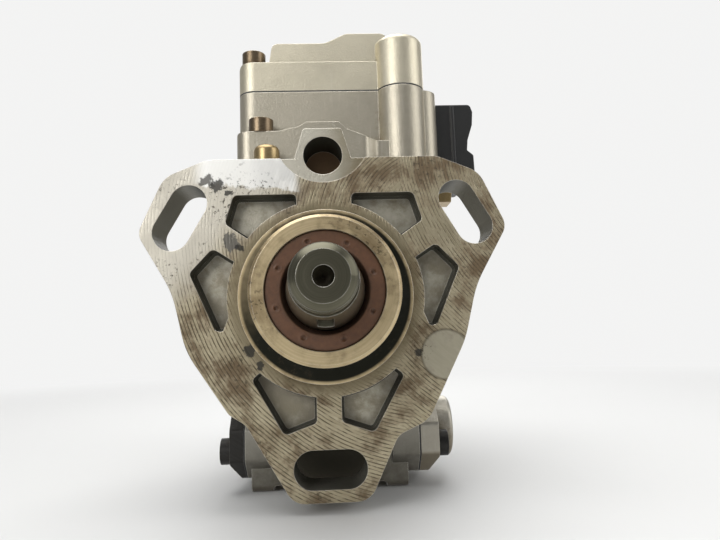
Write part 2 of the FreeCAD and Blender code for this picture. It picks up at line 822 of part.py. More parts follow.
def cam_roller(index):
    inner = roller_track_radius - roller_length / 2
    outer = roller_track_radius + roller_length / 2
    body = tube("X", roller_radius, roller_pin_radius + running_fit, inner, outer, roller_y, 0.0)
    return turned_to(body, roller_angle(index))


def advance_pin():
    return radial_cylinder(advance_pin_radius, ring_bore_radius + 3.2, advance_pin_reach, timing_y,
                           -90.0 - pin_rest_tilt)


def advance_slide_block():
    half = slide_block_length / 2
    body = cylinder("Y", slide_block_radius, timing_y - half, timing_y + half, timing_rest_x, timing_height)
    return body.cut(radial_cylinder(advance_pin_radius + 0.1, 30.0, 60.0, timing_y, -90.0 - pin_rest_tilt))


def timing_piston():
    half = timing_piston_length / 2
    left = timing_rest_x - half
    right = timing_rest_x + half
    body = cylinder("X", timing_piston_radius, left, right, timing_y, timing_height)
    return body.cut([
        cylinder("X", timing_recess_radius, right - timing_recess_depth, right + 1.0, timing_y, timing_height),
        cylinder("X", timing_recess_radius - 1.5, left - 1.0, left + timing_recess_depth - 1.5, timing_y,
                 timing_height),
        cylinder("Y", slide_block_radius + running_fit, timing_y - timing_piston_radius - 1.0,
                 timing_y + slide_block_length / 2 + 0.2, timing_rest_x, timing_height),
        block(timing_rest_x - advance_pin_radius - 1.6, timing_rest_x + advance_pin_radius + 1.6,
              timing_y - advance_pin_radius - 0.3, timing_y + advance_pin_radius + 0.3, timing_height,
              timing_height + timing_piston_radius + 1.0)])


def timing_spring():
    start = timing_rest_x + timing_piston_length / 2 - timing_recess_depth
    return spring("X", timing_spring_radius, timing_spring_wire, start + press_fit, timing_dome_end() - press_fit, 6,
                  timing_y, timing_height)


def timing_dome_end():
    """The inner end of the spring's dome on the right cover."""
    plate_end = timing_block_right + timing_gasket + timing_cover_right_thickness
    return plate_end + timing_dome_length - timing_dome_wall


def cover_outline():
    """The pads and covers of the timing tube, seen from the side: bevelled above and below."""
    top = timing_height + timing_cover_rise
    bottom = -timing_cover_bottom
    return [(timing_block_front, bottom + timing_lower_facet, 2.0),
            (timing_block_front + timing_lower_facet, bottom, 3.0),
            (timing_block_rear - timing_lower_facet, bottom, 3.0),
            (timing_block_rear, bottom + timing_upper_facet, 3.0),
            (timing_block_rear, top - timing_lower_facet, 3.0),
            (timing_block_rear - timing_lower_facet, top, 3.0),
            (timing_block_front + timing_upper_facet, top, 3.0),
            (timing_block_front, top - timing_upper_facet, 2.0)]


def timing_gaskets():
    left = rounded_prism("X", cover_outline(), -timing_block_left - timing_gasket, -timing_block_left)
    right = rounded_prism("X", cover_outline(), timing_block_right, timing_block_right + timing_gasket)
    cuts = [cylinder("X", timing_bore_radius, -cutter_reach, cutter_reach, timing_y, timing_height)]
    for y, z in timing_screw_places:
        cuts.append(cylinder("X", timing_screw_radius + press_fit, -cutter_reach, cutter_reach, y, z))
    return [left.cut(cuts), right.cut(cuts)]


def cover_bevel(outer, inwards):
    """The wedge cut off the outer lower edge of a timing cover; inwards is +1 or -1 along X."""
    bottom = -timing_cover_bottom
    return rounded_prism("Y", [(outer, bottom - 1.0, 0), (outer + inwards * timing_bevel_depth, bottom - 1.0, 0),
                               (outer + inwards * timing_bevel_depth, bottom, 0),
                               (outer, bottom + timing_bevel_height, 0), (outer - inwards, bottom, 0)],
                         timing_block_front - 1.0, timing_block_rear + 1.0)


def timing_cover_left():
    inner = -timing_block_left - timing_gasket
    outer = inner - timing_cover_left_thickness
    plate = rounded_prism("X", cover_outline(), outer, inner)
    wedge = cover_bevel(outer, 1)
    cuts = [wedge]
    for y, z in timing_screw_places:
        cuts.append(cylinder("X", timing_screw_radius + press_fit, outer - 1.0, inner + 1.0, y, z))
    return plate.cut(cuts)


def timing_cover_right():
    inner = timing_block_right + timing_gasket
    outer = inner + timing_cover_right_thickness
    plate = rounded_prism("X", cover_outline(), inner, outer)
    wedge = cover_bevel(outer, -1)
    dome = cylinder("X", timing_dome_radius, outer - 0.5, outer + timing_dome_length, timing_y, timing_height)
    edge = [e for e in dome.Edges if abs(e.CenterOfMass.x - outer - timing_dome_length) < 0.01 and e.Length > 10]
    dome = dome.makeFillet(1.6, edge)
    cuts = [wedge, cylinder("X", timing_recess_radius, inner - 1.0, timing_dome_end(), timing_y, timing_height)]
    for y, z in timing_screw_places:
        cuts.append(cylinder("X", timing_screw_radius + press_fit, inner - 1.0, outer + 1.0, y, z))
    return fuse([plate, dome]).cut(cuts)


def timing_cover_screws():
    screws = []
    left_seat = -timing_block_left - timing_gasket - timing_cover_left_thickness
    right_seat = timing_block_right + timing_gasket + timing_cover_right_thickness
    for y, z in timing_screw_places:
        screws.append(cap_screw("X", left_seat, -1, timing_screw_radius, timing_screw_head_radius, timing_screw_head,
                                timing_screw_grip + timing_cover_left_thickness, y, z))
        screws.append(cap_screw("X", right_seat, 1, timing_screw_radius, timing_screw_head_radius, timing_screw_head,
                                timing_screw_grip + timing_cover_right_thickness, y, z))
    return Part.makeCompound(screws)


def timing_valve_body():
    place = (timing_valve_x, timing_valve_z)
    nose_front = timing_block_rear - timing_valve_nose
    hex_rear = timing_block_rear + timing_valve_hex
    tube_rear = hex_rear + timing_valve_coil_length - timing_valve_end_wall
    solid = fuse([
        cylinder("Y", timing_valve_nose_radius, nose_front, timing_block_rear, *place),
        hexagon("Y", timing_valve_hex_flats, timing_block_rear, hex_rear, *place),
        cylinder("Y", timing_valve_tube_radius, hex_rear, tube_rear, *place)])
    return solid.cut([
        cylinder("Y", timing_valve_inlet_radius, nose_front - 1.0, nose_front + 2.0, *place),
        cylinder("Y", timing_needle_radius + running_fit, nose_front + 1.5, tube_rear - 2.0, *place)])


def timing_valve_needle():
    place = (timing_valve_x, timing_valve_z)
    tip = timing_block_rear - timing_valve_nose + 1.5 + press_fit
    return fuse([cone("Y", 1.4, timing_needle_radius, tip, tip + 1.5, *place),
                 cylinder("Y", timing_needle_radius, tip + 1.5, tip + timing_needle_length, *place)])


def timing_valve_coil():
    place = (timing_valve_x, timing_valve_z)
    front = timing_block_rear + timing_valve_hex + press_fit
    rear = front + timing_valve_coil_length
    can = cylinder("Y", timing_valve_coil_radius, front, rear, *place)
    edges = [e for e in can.Edges if abs(e.CenterOfMass.y - rear) < 0.01 and e.Length > timing_valve_coil_radius]
    can = can.makeFillet(timing_valve_round, edges)
    plug_left = timing_valve_x + timing_valve_tube_radius
    plug_right = timing_valve_x + valve_plug_reach
    inner_half = valve_plug_half - valve_plug_wall
    plug = rounded_prism("Y", rectangle(plug_left, plug_right, timing_valve_z - valve_plug_half,
                                        timing_valve_z + valve_plug_half, 3.0), rear - valve_plug_depth, rear - 1.0)
    bore_left = timing_valve_x + timing_valve_coil_radius + 1.0
    plug_bore = rounded_prism("Y", rectangle(bore_left, plug_right - valve_plug_wall, timing_valve_z - inner_half,
                                             timing_valve_z + inner_half, 2.0), rear - valve_plug_socket, rear)
    return fuse([can, plug]).cut([
        cylinder("Y", timing_valve_tube_radius + press_fit, front - 1.0, rear - timing_valve_end_wall, *place),
        plug_bore])


def distributor_plunger():
    foot = cylinder("Y", plunger_foot_radius, cam_rear, foot_rear)
    stem = cylinder("Y", plunger_radius, foot_rear, plunger_rear)
    spill = cylinder("X", 1.5, -plunger_radius - 1.0, plunger_radius + 1.0, collar_rest, 0.0)
    axial = cylinder("Y", 1.2, collar_rest, plunger_rear + 1.0)
    return fuse([foot, stem]).cut([spill, axial])


def plunger_spring_bridge():
    plate = rounded_prism("Y", rectangle(-bridge_half_length, bridge_half_length, -bridge_half_width,
                                         bridge_half_width, bridge_half_width - 0.5), bridge_front, bridge_rear)
    return plate.cut(cylinder("Y", plunger_radius + 0.6, bridge_front - 1.0, bridge_rear + 1.0))


def plunger_springs():
    coils = []
    for side in (-1, 1):
        coils.append(spring("Y", plunger_spring_radius, plunger_spring_wire, bridge_rear + press_fit,
                            spigot_front - press_fit, plunger_spring_turns, side * plunger_spring_offset, 0.0))
    return Part.makeCompound(coils)


def spring_guide_pins():
    pins = []
    for side in (-1, 1):
        pins.append(cylinder("Y", guide_pin_radius, spigot_front - guide_pin_length, spigot_front + 3.0,
                             side * plunger_spring_offset, 0.0))
    return pins


def control_collar():
    front = collar_rest - collar_width / 2
    rear = collar_rest + collar_width / 2
    groove_half = crank_pin_radius + running_fit * 2
    ring = tube("Y", collar_radius, plunger_radius + running_fit, front, rear)
    return ring.cut(tube("Y", collar_radius + 1.0, collar_groove_radius, collar_rest - groove_half,
                         collar_rest + groove_half))


def distributor_head():
    """The steel head with its spigot, the delivery bores and the two pins that guide the return springs."""
    half = rear_flange_half
    flange = rounded_prism("Y", rectangle(-half, half, -half, half, rear_flange_corner), housing_length,
                           head_flange_rear)
    body = cylinder("Y", head_body_radius, housing_length, head_rear)
    edges = [e for e in body.Edges if abs(e.CenterOfMass.y - head_rear) < 0.01 and e.Length > 20]
    body = body.makeChamfer(1.5, edges)
    tower = cylinder("Z", shutoff_radius + 1.0, 0.0, shutoff_seat_height, 0.0, shutoff_y)
    tower = tower.common(block(-20, 20, head_flange_rear - 8.0, head_rear, 0, shutoff_seat_height))
    spigot = cylinder("Y", cavity_radius - running_fit * 2, spigot_front, housing_length + 0.5)
    solid = fuse([flange, body, tower, spigot])
    seal_groove = tube("Y", cavity_radius + 1.0, cavity_radius - 1.9, spigot_front + 1.5, spigot_front + 3.5)
    cuts = [
        seal_groove,
        cylinder("Y", barrel_radius + press_fit, spigot_front - 1.0, barrel_rear + press_fit),
        cylinder("Y", centre_plug_radius + press_fit, barrel_rear, head_rear + 1.0),
        cylinder("Z", shutoff_thread_radius + press_fit, barrel_radius - 1.0, shutoff_seat_height + 1.0, 0.0,
                 shutoff_y)]
    for x, z in outlet_places:
        cuts.append(cylinder("Y", holder_thread_radius + press_fit, valve_seat_front - press_fit, head_rear + 1.0,
                             x, z))
    for x, z in head_screw_places:
        cuts.append(cylinder("Y", head_screw_radius + press_fit, housing_length - 1.0, head_flange_rear + 1.0, x, z))
    for side in (-1, 1):
        cuts.append(cylinder("Y", guide_pin_radius + press_fit, spigot_front - 1.0, spigot_front + 3.0 + press_fit,
                             side * plunger_spring_offset, 0.0))
    return Part.makeCompound([solid.cut(cuts)] + spring_guide_pins())


def head_barrel():
    body = tube("Y", barrel_radius, plunger_radius + 0.03, barrel_front, barrel_rear)
    return body.cut(cylinder("Z", 2.0, 0.0, barrel_radius + 1.0, 0.0, shutoff_y))


def head_seal():
    return tube("Y", cavity_radius - running_fit, cavity_radius - 1.9, spigot_front + 1.6, spigot_front + 3.4)


def head_screws():
    screws = []
    for x, z in head_screw_places:
        screws.append(cap_screw("Y", head_flange_rear, 1, head_screw_radius, head_screw_head_radius, 6.0,
                                head_screw_length, x, z))
    return Part.makeCompound(screws)


def head_centre_plug():
    return fuse([cylinder("Y", centre_plug_radius, barrel_rear + press_fit, head_rear),
                 hexagon("Y", centre_plug_flats, head_rear, head_rear + centre_plug_hex)])


def delivery_valve_holder(x, z):
    union_end = head_rear + holder_hex + holder_union_length
    shank = cylinder("Y", holder_thread_radius, valve_seat_rear + press_fit, head_rear, x, z)
    nut = hexagon("Y", holder_flats, head_rear, head_rear + holder_hex, x, z)
    union = cylinder("Y", holder_union_radius, head_rear + holder_hex, union_end, x, z)
    cuts = [cylinder("Y", holder_bore_radius, valve_seat_rear, spring_chamber_end, x, z),
            cylinder("Y", outlet_bore_radius, spring_chamber_end - 1.0, union_end + 1.0, x, z),
            cone("Y", outlet_bore_radius, holder_union_radius - 1.6, union_end - 5.0, union_end, x, z)]
    return fuse([shank, nut, union]).cut(cuts)


def delivery_valve_holders():
    return Part.makeCompound([delivery_valve_holder(x, z) for x, z in outlet_places])


def delivery_valve_seats():
    seats = []
    for x, z in outlet_places:
        seats.append(tube("Y", holder_thread_radius, valve_stem_radius + running_fit, valve_seat_front,
                          valve_seat_rear, x, z))
    return Part.makeCompound(seats)


def delivery_valve(index):
    x, z = outlet_places[index]
    head_front = valve_seat_rear + running_fit
    head_end = head_front + valve_head_length
    stem = cylinder("Y", valve_stem_radius, valve_seat_front + 0.3, head_front, x, z)
    flutes = [block(x - 0.8, x + 0.8, valve_seat_front, head_front - 1.0, z - 3.0, z - 1.2),
              block(x - 0.8, x + 0.8, valve_seat_front, head_front - 1.0, z + 1.2, z + 3.0)]
    return fuse([stem, cylinder("Y", valve_head_radius, head_front, head_end, x, z),
                 cylinder("Y", valve_guide_radius, head_end, head_end + valve_guide_length, x, z)]).cut(flutes)


def delivery_valve_springs():
    start = valve_seat_rear + running_fit + valve_head_length + press_fit
    radius = (valve_guide_radius + holder_bore_radius) / 2
    return Part.makeCompound([spring("Y", radius, valve_spring_wire, start, spring_chamber_end - press_fit, 3, x, z)
                              for x, z in outlet_places])


def shutoff_solenoid():
    top = shutoff_seat_height + shutoff_height
    shank_bottom = barrel_radius + 1.0
    hex_top = shutoff_seat_height + shutoff_hex
    place = (0.0, shutoff_y)
    can = cylinder("Z", shutoff_radius, hex_top, top, *place)
    edges = [e for e in can.Edges if abs(e.CenterOfMass.z - top) < 0.01 and e.Length > shutoff_radius]
    can = can.makeFillet(1.5, edges)
    solid = fuse([cylinder("Z", shutoff_thread_radius, shank_bottom, shutoff_seat_height, *place),
                  hexagon("Z", shutoff_hex_flats, shutoff_seat_height, hex_top, *place), can,
                  cylinder("Z", shutoff_stud_radius * 2, top - 0.5, top + 1.5, *place),
                  cylinder("Z", shutoff_stud_radius, top, top + shutoff_stud, *place)])
    return solid.cut([
        cylinder("Z", shutoff_bore_radius + running_fit, shank_bottom + 1.0, top - shutoff_top_wall, *place),
        cylinder("Z", shutoff_bore_radius / 2, shank_bottom - 1.0, shank_bottom + 2.0, *place)])


def shutoff_plunger():
    bottom = barrel_radius + 2.0 + press_fit
    return cylinder("Z", shutoff_bore_radius, bottom, bottom + shutoff_plunger_length, 0.0, shutoff_y)


def shutoff_spring():
    start = barrel_radius + 2.0 + press_fit + shutoff_plunger_length
    top = shutoff_seat_height + shutoff_height - shutoff_top_wall
    return spring("Z", shutoff_bore_radius - 0.7, shutoff_spring_wire, start + press_fit, top - press_fit, 5, 0.0,
                  shutoff_y)


def pressure_valve_plug():
    place = (pressure_valve_x, pressure_valve_y)
    head_top = step_height + pressure_plug_head
    head = cylinder("Z", pressure_plug_radius, step_height, head_top, *place)
    edges = [e for e in head.Edges if abs(e.CenterOfMass.z - head_top) < 0.01 and e.Length > pressure_plug_radius]
    head = head.makeFillet(pressure_plug_round, edges)
    shank = cylinder("Z", pressure_plug_radius - 0.25, step_height - pressure_plug_shank, step_height + 0.5, *place)
    socket = hexagon("Z", screw_socket_flats, head_top - pressure_plug_socket, head_top + 0.5, *place)
    return fuse([head, shank]).cut(socket)


def pressure_valve_piston():
    top = step_height - pressure_plug_shank - pressure_spring_length
    return cylinder("Z", pressure_piston_radius, top - pressure_piston_length, top, pressure_valve_x,
                    pressure_valve_y)


def pressure_valve_spring():
    top = step_height - pressure_plug_shank
    return spring("Z", pressure_piston_radius - 0.7, pressure_spring_wire, top - pressure_spring_length + press_fit,
                  top - press_fit, 4, pressure_valve_x, pressure_valve_y)


def inlet_union():
    place = (inlet_y, inlet_height)
    shank = cylinder("X", inlet_thread_radius, deck_right - inlet_shank, deck_right, *place)
    nut = rounded_prism("X", hex_corners_flat(inlet_flats, *place), deck_right, deck_right + inlet_hex)
    bore = cylinder("X", inlet_bore_radius, deck_right - inlet_shank - 1.0, deck_right + inlet_hex + 1.0, *place)
    return fuse([shank, nut]).cut(bore)


def hex_corners_flat(flats, u, v):
    """Hexagon corners with a flat at the top and at the bottom."""
    corner = flats / math.sqrt(3)
    return [(u + corner * math.cos(math.radians(60 * i)), v + corner * math.sin(math.radians(60 * i)), 0)
            for i in range(6)]


def return_union():
    place = (return_x, return_height)
    hex_rear = unit_rear + return_hex
    pipe_end = unit_rear + return_length
    solid = fuse([cylinder("Y", 5.0, unit_rear - unit_wall, unit_rear, *place),
                  hexagon("Y", return_flats, unit_rear, hex_rear, *place),
                  cylinder("Y", return_pipe_radius, hex_rear, pipe_end - 1.0, *place),
                  cone("Y", return_pipe_radius, return_pipe_radius - 0.8, pipe_end - 1.0, pipe_end, *place)])
    return solid.cut(cylinder("Y", 2.2, unit_rear - unit_wall - 1.0, pipe_end + 1.0, *place))


def unit_outline(left, right, inset):
    return rectangle(-left + inset, right - inset, unit_front + inset, unit_rear - inset,
                     unit_corner - inset * 0.6)


def actuator_base():
    """The base in front of the walls: a screw pad, a hump behind the flange's boss and a stepped-back end."""
    rear = unit_front + unit_wall
    setback = base_front + base_setback
    hump_top = deck_height + hump_rise
    profile = [(-base_left, deck_height, 0), (column_x, deck_height, 0), (column_x, base_flange_top, 0),
               (base_flange_right + 0.8, base_flange_top, 3.0), (hump_foot, base_pad_top + 0.5, 2.0),
               (hump_half_width, hump_top, 1.5), (-hump_half_width, hump_top, 1.5),
               (-hump_foot, base_pad_top + 1.5, 1.5), (-base_pad_right, base_pad_top, 4.0),
               (-base_left, base_pad_top, 1.0)]
    plan = [(-base_left, base_front, 5.0), (base_flange_right, base_front, 3.0),
            (base_flange_right + base_setback, setback, 3.0), (column_x, setback, 0), (column_x, rear, 0),
            (-base_left, rear, 0)]
    return rounded_prism("Y", profile, base_front, rear).common(rounded_prism("Z", plan, deck_height, hump_top + 1.0))


def actuator_housing():
    walls = rounded_prism("Z", unit_outline(unit_left, unit_right, 0.0), deck_height, parting_height)
    column = cylinder("Z", column_radius, deck_height, parting_height, column_x, column_y)
    cavity = rounded_prism("Z", unit_outline(unit_left, unit_right, unit_wall), unit_floor_top, parting_height + 1.0)
    bosses = [cylinder("Z", unit_boss_radius, unit_floor_top - 0.5, parting_height, x, y) for x, y in cover_screws]
    bearing_seat = cylinder("Z", bearing_outer_radius + 3.0, deck_height, unit_floor_top, 0.0, actuator_y)
    solid = fuse([actuator_base(), walls, column]).cut(cavity)
    solid = fuse([solid] + bosses + [bearing_seat])
    cuts = [cylinder("Z", bearing_outer_radius + press_fit, deck_height - 1.0, unit_floor_top + 1.0, 0.0,
                     actuator_y),
            cylinder("Y", 5.0 + press_fit, unit_rear - unit_wall - 1.0, unit_rear + 1.0, return_x, return_height),
            block(unit_right - unit_wall - 1.0, unit_right + 1.0, connector_front + 5.0, connector_rear - 5.0,
                  base_flange_top + 1.0, parting_height - 5.0)]
    for x, y in deck_screws:
        cuts.append(cylinder("Z", unit_screw_radius + press_fit, deck_height - 1.0, base_pad_top + 1.0, x, y))
    for x, y in cover_screws:
        cuts.append(cylinder("Z", unit_screw_radius + press_fit, parting_height - unit_screw_grip,
                             parting_height + 1.0, x, y))
    return solid.cut(cuts)


def cover_gasket():
    outer = rounded_prism("Z", unit_outline(unit_left, cover_right, 0.0), parting_height, parting_top)
    inner = rounded_prism("Z", unit_outline(unit_left, cover_right, unit_wall), parting_height, parting_top)
    ring = outer.cut(inner)
    ring = fuse([ring, cylinder("Z", column_radius, parting_height, parting_top, column_x, column_y)]
                + [cylinder("Z", unit_boss_radius, parting_height, parting_top, x, y) for x, y in cover_screws])
    holes = [cylinder("Z", unit_screw_radius + press_fit, parting_height - 1.0, parting_top + 1.0, x, y)
             for x, y in cover_screws]
    return ring.cut(holes)


def actuator_cover():
    """The cover: a ledge all round for its screws, and a stepped roof set back from it."""
    ledge_profile = [(-unit_left, parting_top, 0), (cover_right, parting_top, 0), (cover_right, cover_ledge, 2.0),
                     (-unit_left, cover_ledge, 2.0)]
    roof_profile = [(-19.3, cover_ledge - 2.0, 0), (26.0, cover_ledge - 2.0, 0), (24.5, cover_peak, 3.0),
                    (9.3, cover_peak, 4.0), (1.5, cover_plateau, 6.0), (-17.8, cover_plateau, 2.5)]
    plan = rounded_prism("Z", unit_outline(unit_left, cover_right, 0.0), parting_top, cover_peak)
    roof_plan = rounded_prism("Z", unit_outline(unit_left, cover_right, cover_step), parting_top, cover_peak)
    ledge = rounded_prism("Y", ledge_profile, unit_front, unit_rear).common(plan)
    roof = rounded_prism("Y", roof_profile, unit_front, unit_rear).common(roof_plan)
    column = cylinder("Z", column_radius, parting_top, column_top, column_x, column_y)
    edges = [e for e in column.Edges if abs(e.CenterOfMass.z - column_top) < 0.01 and e.Length > column_radius]
    column = column.makeFillet(2.0, edges)
    low_cavity = rounded_prism("Z", unit_outline(unit_left, cover_right, unit_wall), parting_top - 1.0,
                               cover_ledge - unit_wall)
    roof_inset = unit_wall + 1.0
    high_cavity = rounded_prism("Z", rectangle(-14.0, 16.0, unit_front + roof_inset, unit_rear - roof_inset, 3.0),
                                parting_top - 1.0, cover_plateau - unit_wall)
    bosses = [cylinder("Z", unit_boss_radius, parting_top, cover_ledge - 1.0, x, y) for x, y in cover_screws]
    solid = fuse([ledge, roof, column]).cut([low_cavity, high_cavity])
    solid = fuse([solid] + bosses)
    holes = [cylinder("Z", unit_screw_radius + press_fit, parting_top - 1.0, cover_ledge + 1.0, x, y)
             for x, y in cover_screws]
    return solid.cut(holes)


def gaskets_and_seals():
    """The cover's gasket, the two gaskets of the timing device and the sealing ring of the head."""
    return Part.makeCompound([cover_gasket(), head_seal()] + timing_gaskets())


def actuator_housing_screws():
    """The cap screws of the cover and those that hold the actuator housing on the pump."""
    grip = cover_ledge - parting_height + unit_screw_grip - 1.0
    screws = [cap_screw("Z", cover_ledge, 1, unit_screw_radius, unit_screw_head_radius, unit_screw_head, grip, x, y)
              for x, y in cover_screws]
    for index, (x, y) in enumerate(deck_screws):
        seat = base_pad_top if index == 0 else unit_floor_top
        grip = seat - deck_height + unit_screw_grip - 6.0
        screws.append(cap_screw("Z", seat, 1, unit_screw_radius, unit_screw_head_radius, unit_screw_head, grip, x, y))
    return Part.makeCompound(screws)


def connector_socket():
    """The seven-way socket: a flange on the housing's wall and a shroud with a waist in its rim."""
    wall = unit_right
    reach = connector_reach
    height = connector_top - connector_bottom
    rim = [(reach - depth, connector_bottom + share * height, radius) for share, depth, radius in connector_waist]
    profile = ([(wall, connector_bottom + connector_flange, 0), (wall + connector_flange, connector_bottom, 0),
                (reach - 0.3, connector_bottom, 2.0)] + rim + [(reach - 1.0, connector_top, 1.5),
                                                               (wall, connector_top, 0)])
    shell = rounded_prism("Y", profile, connector_front, connector_rear)
    rib = block(reach - 8.6, reach - 7.4, connector_front - 0.8, connector_front + 0.5, connector_bottom + 1.0,
                connector_top - 0.5)
    inset = connector_wall
    cavity = rounded_prism("X", rectangle(connector_front + inset, connector_rear - inset,
                                          connector_bottom + inset, connector_top - inset, 3.0),
                           connector_cavity, reach + 1.0)
    slots = [connector_pin(i, press_fit) for i in range(pin_count)]
    return fuse([shell, rib]).cut([cavity] + slots)


def connector_pin(index, gap):
    pitch = (connector_rear - connector_front - 2 * connector_wall - 5.0) / pin_count
    y = connector_front + connector_wall + 2.5 + pitch * (index + 0.5)
    z = (connector_bottom + connector_top) / 2 + 2.0
    return block(unit_right - 1.0 - gap, connector_cavity + pin_length, y - 0.8 - gap, y + 0.8 + gap, z - 0.4 - gap,
                 z + 0.4 + gap)


def connector_pins():
    return Part.makeCompound([connector_pin(i, 0.0) for i in range(pin_count)])


def actuator_core():
    """The laminated iron: a front yoke, two legs and two pole shoes that hold the magnet's field."""
    y0 = actuator_y - core_half
    yoke = block(-core_half, core_half, y0, y0 + core_leg, core_bottom, core_top)
    legs = [block(side * core_half - (core_leg if side > 0 else 0), side * core_half + (0 if side > 0 else core_leg),
                  y0, actuator_y + 9.0, core_bottom, core_top) for side in (-1, 1)]
    poles = [block(-core_half, core_half, actuator_y - 5.5, actuator_y + 9.0, core_bottom, core_top)]
    bore = cylinder("Z", magnet_radius + magnet_gap, core_bottom - 1.0, core_top + 1.0, 0.0, actuator_y)
    gap = block(-2.0, 2.0, actuator_y - 7.0, actuator_y + 10.0, core_bottom - 1.0, core_top + 1.0)
    feet = [block(side * core_half - (core_leg if side > 0 else 0), side * core_half + (0 if side > 0 else core_leg),
                  y0, y0 + 8.0, unit_floor_top, core_bottom) for side in (-1, 1)]
    return fuse([yoke] + legs + poles + feet).cut([bore, gap])


def actuator_coil():
    y0 = actuator_y - core_half
    coil_rear = actuator_y - magnet_radius - magnet_gap
    outer = rounded_prism("Z", rectangle(-coil_half_width, coil_half_width, y0 - coil_front_gap, coil_rear, 0.8),
                          core_bottom - 2.4, core_top + 2.4)
    return outer.cut(block(-core_half, core_half, y0 - press_fit, y0 + core_leg + press_fit,
                           core_bottom - press_fit, core_top + press_fit))


def crank_angle_point():
    angle = math.radians(-actuator_half_angle)
    return crank_pin_offset * math.cos(angle), actuator_y + crank_pin_offset * math.sin(angle)


def actuator_rotor():
    crank_x, crank_y = crank_angle_point()
    disc_bottom = collar_radius + free_gap
    shaft = cylinder("Z", actuator_shaft_radius, disc_bottom, core_top + 10.0, 0.0, actuator_y)
    magnet = cylinder("Z", magnet_radius, core_bottom + 0.5, core_top - 0.5, 0.0, actuator_y)
    disc = cylinder("Z", crank_disc_radius, disc_bottom, disc_bottom + crank_disc_thickness, 0.0, actuator_y)
    pin = cylinder("Z", crank_pin_radius, collar_groove_radius + free_gap, disc_bottom + 1.0, crank_x, crank_y)
    sensor_ring = cylinder("Z", 5.0, core_top + 7.5, core_top + 9.5, 0.0, actuator_y)
    return fuse([shaft, magnet, disc, pin, sensor_ring])


def actuator_bearings():
    low = tube("Z", bearing_outer_radius, actuator_shaft_radius + running_fit, deck_height + 0.3,
               deck_height + 0.3 + bearing_width, 0.0, actuator_y)
    high = tube("Z", bearing_outer_radius, actuator_shaft_radius + running_fit, core_top + 0.2,
                core_top + 0.2 + bearing_width, 0.0, actuator_y)
    return Part.makeCompound([low, high])


def bearing_bridge():
    """The pressed bridge over the core that carries the upper bearing."""
    y1 = actuator_y + 9.0
    plate = rounded_prism("Z", rectangle(-core_half, core_half, actuator_y - 8.0, y1, 2.0), core_top,
                          core_top + bridge_plate)
    cup = cylinder("Z", bearing_outer_radius + 1.4, core_top, core_top + bearing_width, 0.0, actuator_y)
    return fuse([plate, cup]).cut(cylinder("Z", bearing_outer_radius + press_fit, core_top - 1.0,
                                           core_top + bearing_width + 1.0, 0.0, actuator_y))


def position_sensor():
    """The inductive sensor that reads the actuator's angle, on the bridge beside the rotor's ring."""
    base = core_top + bridge_plate
    post = block(-15.0, -8.0, actuator_y - 6.0, actuator_y + 6.0, base, base + sensor_height + 2.0)
    yoke = block(-9.0, -5.6, actuator_y - 4.0, actuator_y + 4.0, base + sensor_height - 0.5,
                 base + sensor_height + 4.0)
    return fuse([post, yoke])


nodes = {
    "pump_housing": pump_housing,
    "shaft_bush": shaft_bush,
    "shaft_seal": shaft_seal,
    "vane_pump_ring": vane_pump_ring,
    "vane_pump_plate": vane_pump_plate,
    "drive_shaft": drive_shaft,
    "vane_pump_rotor": vane_pump_rotor,
    "vane_pump_vanes": vane_pump_vanes,
    "coupling_disc": coupling_disc,
    "cam_plate": cam_plate,
    "distributor_plunger": distributor_plunger,
    "roller_ring": roller_ring,
    "advance_pin": advance_pin,
    "timing_piston": timing_piston,
    "advance_slide_block": advance_slide_block,
    "timing_spring": timing_spring,
    "gaskets_and_seals": gaskets_and_seals,
    "timing_cover_left": timing_cover_left,
    "timing_cover_right": timing_cover_right,
    "timing_cover_screws": timing_cover_screws,
    "timing_valve_body": timing_valve_body,
    "timing_valve_coil": timing_valve_coil,
    "timing_valve_needle": timing_valve_needle,
    "plunger_spring_bridge": plunger_spring_bridge,
    "plunger_springs": plunger_springs,
    "control_collar": control_collar,
    "distributor_head": distributor_head,
    "head_barrel": head_barrel,
    "head_screws": head_screws,
    "head_centre_plug": head_centre_plug,
    "delivery_valve_holders": delivery_valve_holders,
    "delivery_valve_seats": delivery_valve_seats,
    "delivery_valve_springs": delivery_valve_springs,
    "shutoff_solenoid": shutoff_solenoid,
    "shutoff_plunger": shutoff_plunger,
    "shutoff_spring": shutoff_spring,
    "pressure_valve_plug": pressure_valve_plug,
    "pressure_valve_piston": pressure_valve_piston,
    "pressure_valve_spring": pressure_valve_spring,
    "inlet_union": inlet_union,
    "return_union": return_union,
    "actuator_housing": actuator_housing,
    "actuator_cover": actuator_cover,
    "actuator_housing_screws": actuator_housing_screws,
    "connector_socket": connector_socket,
    "connector_pins": connector_pins,
    "actuator_core": actuator_core,
    "actuator_coil": actuator_coil,
    "actuator_rotor": actuator_rotor,
    "actuator_bearings": actuator_bearings,
    "bearing_bridge": bearing_bridge,
    "position_sensor": position_sensor,
}

os.makedirs("parts", exist_ok=True)
for name, make in nodes.items():
    make().exportStep("parts/" + name + ".step")
for index in range(roller_count):
    cam_roller(index).exportStep(f"parts/cam_roller_{index + 1}.step")
for index in range(outlet_count):
    delivery_valve(index).exportStep(f"parts/delivery_valve_{index + 1}.step")
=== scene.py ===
import json
import math
import bpy
import numpy as np
from mathutils import Matrix, Vector


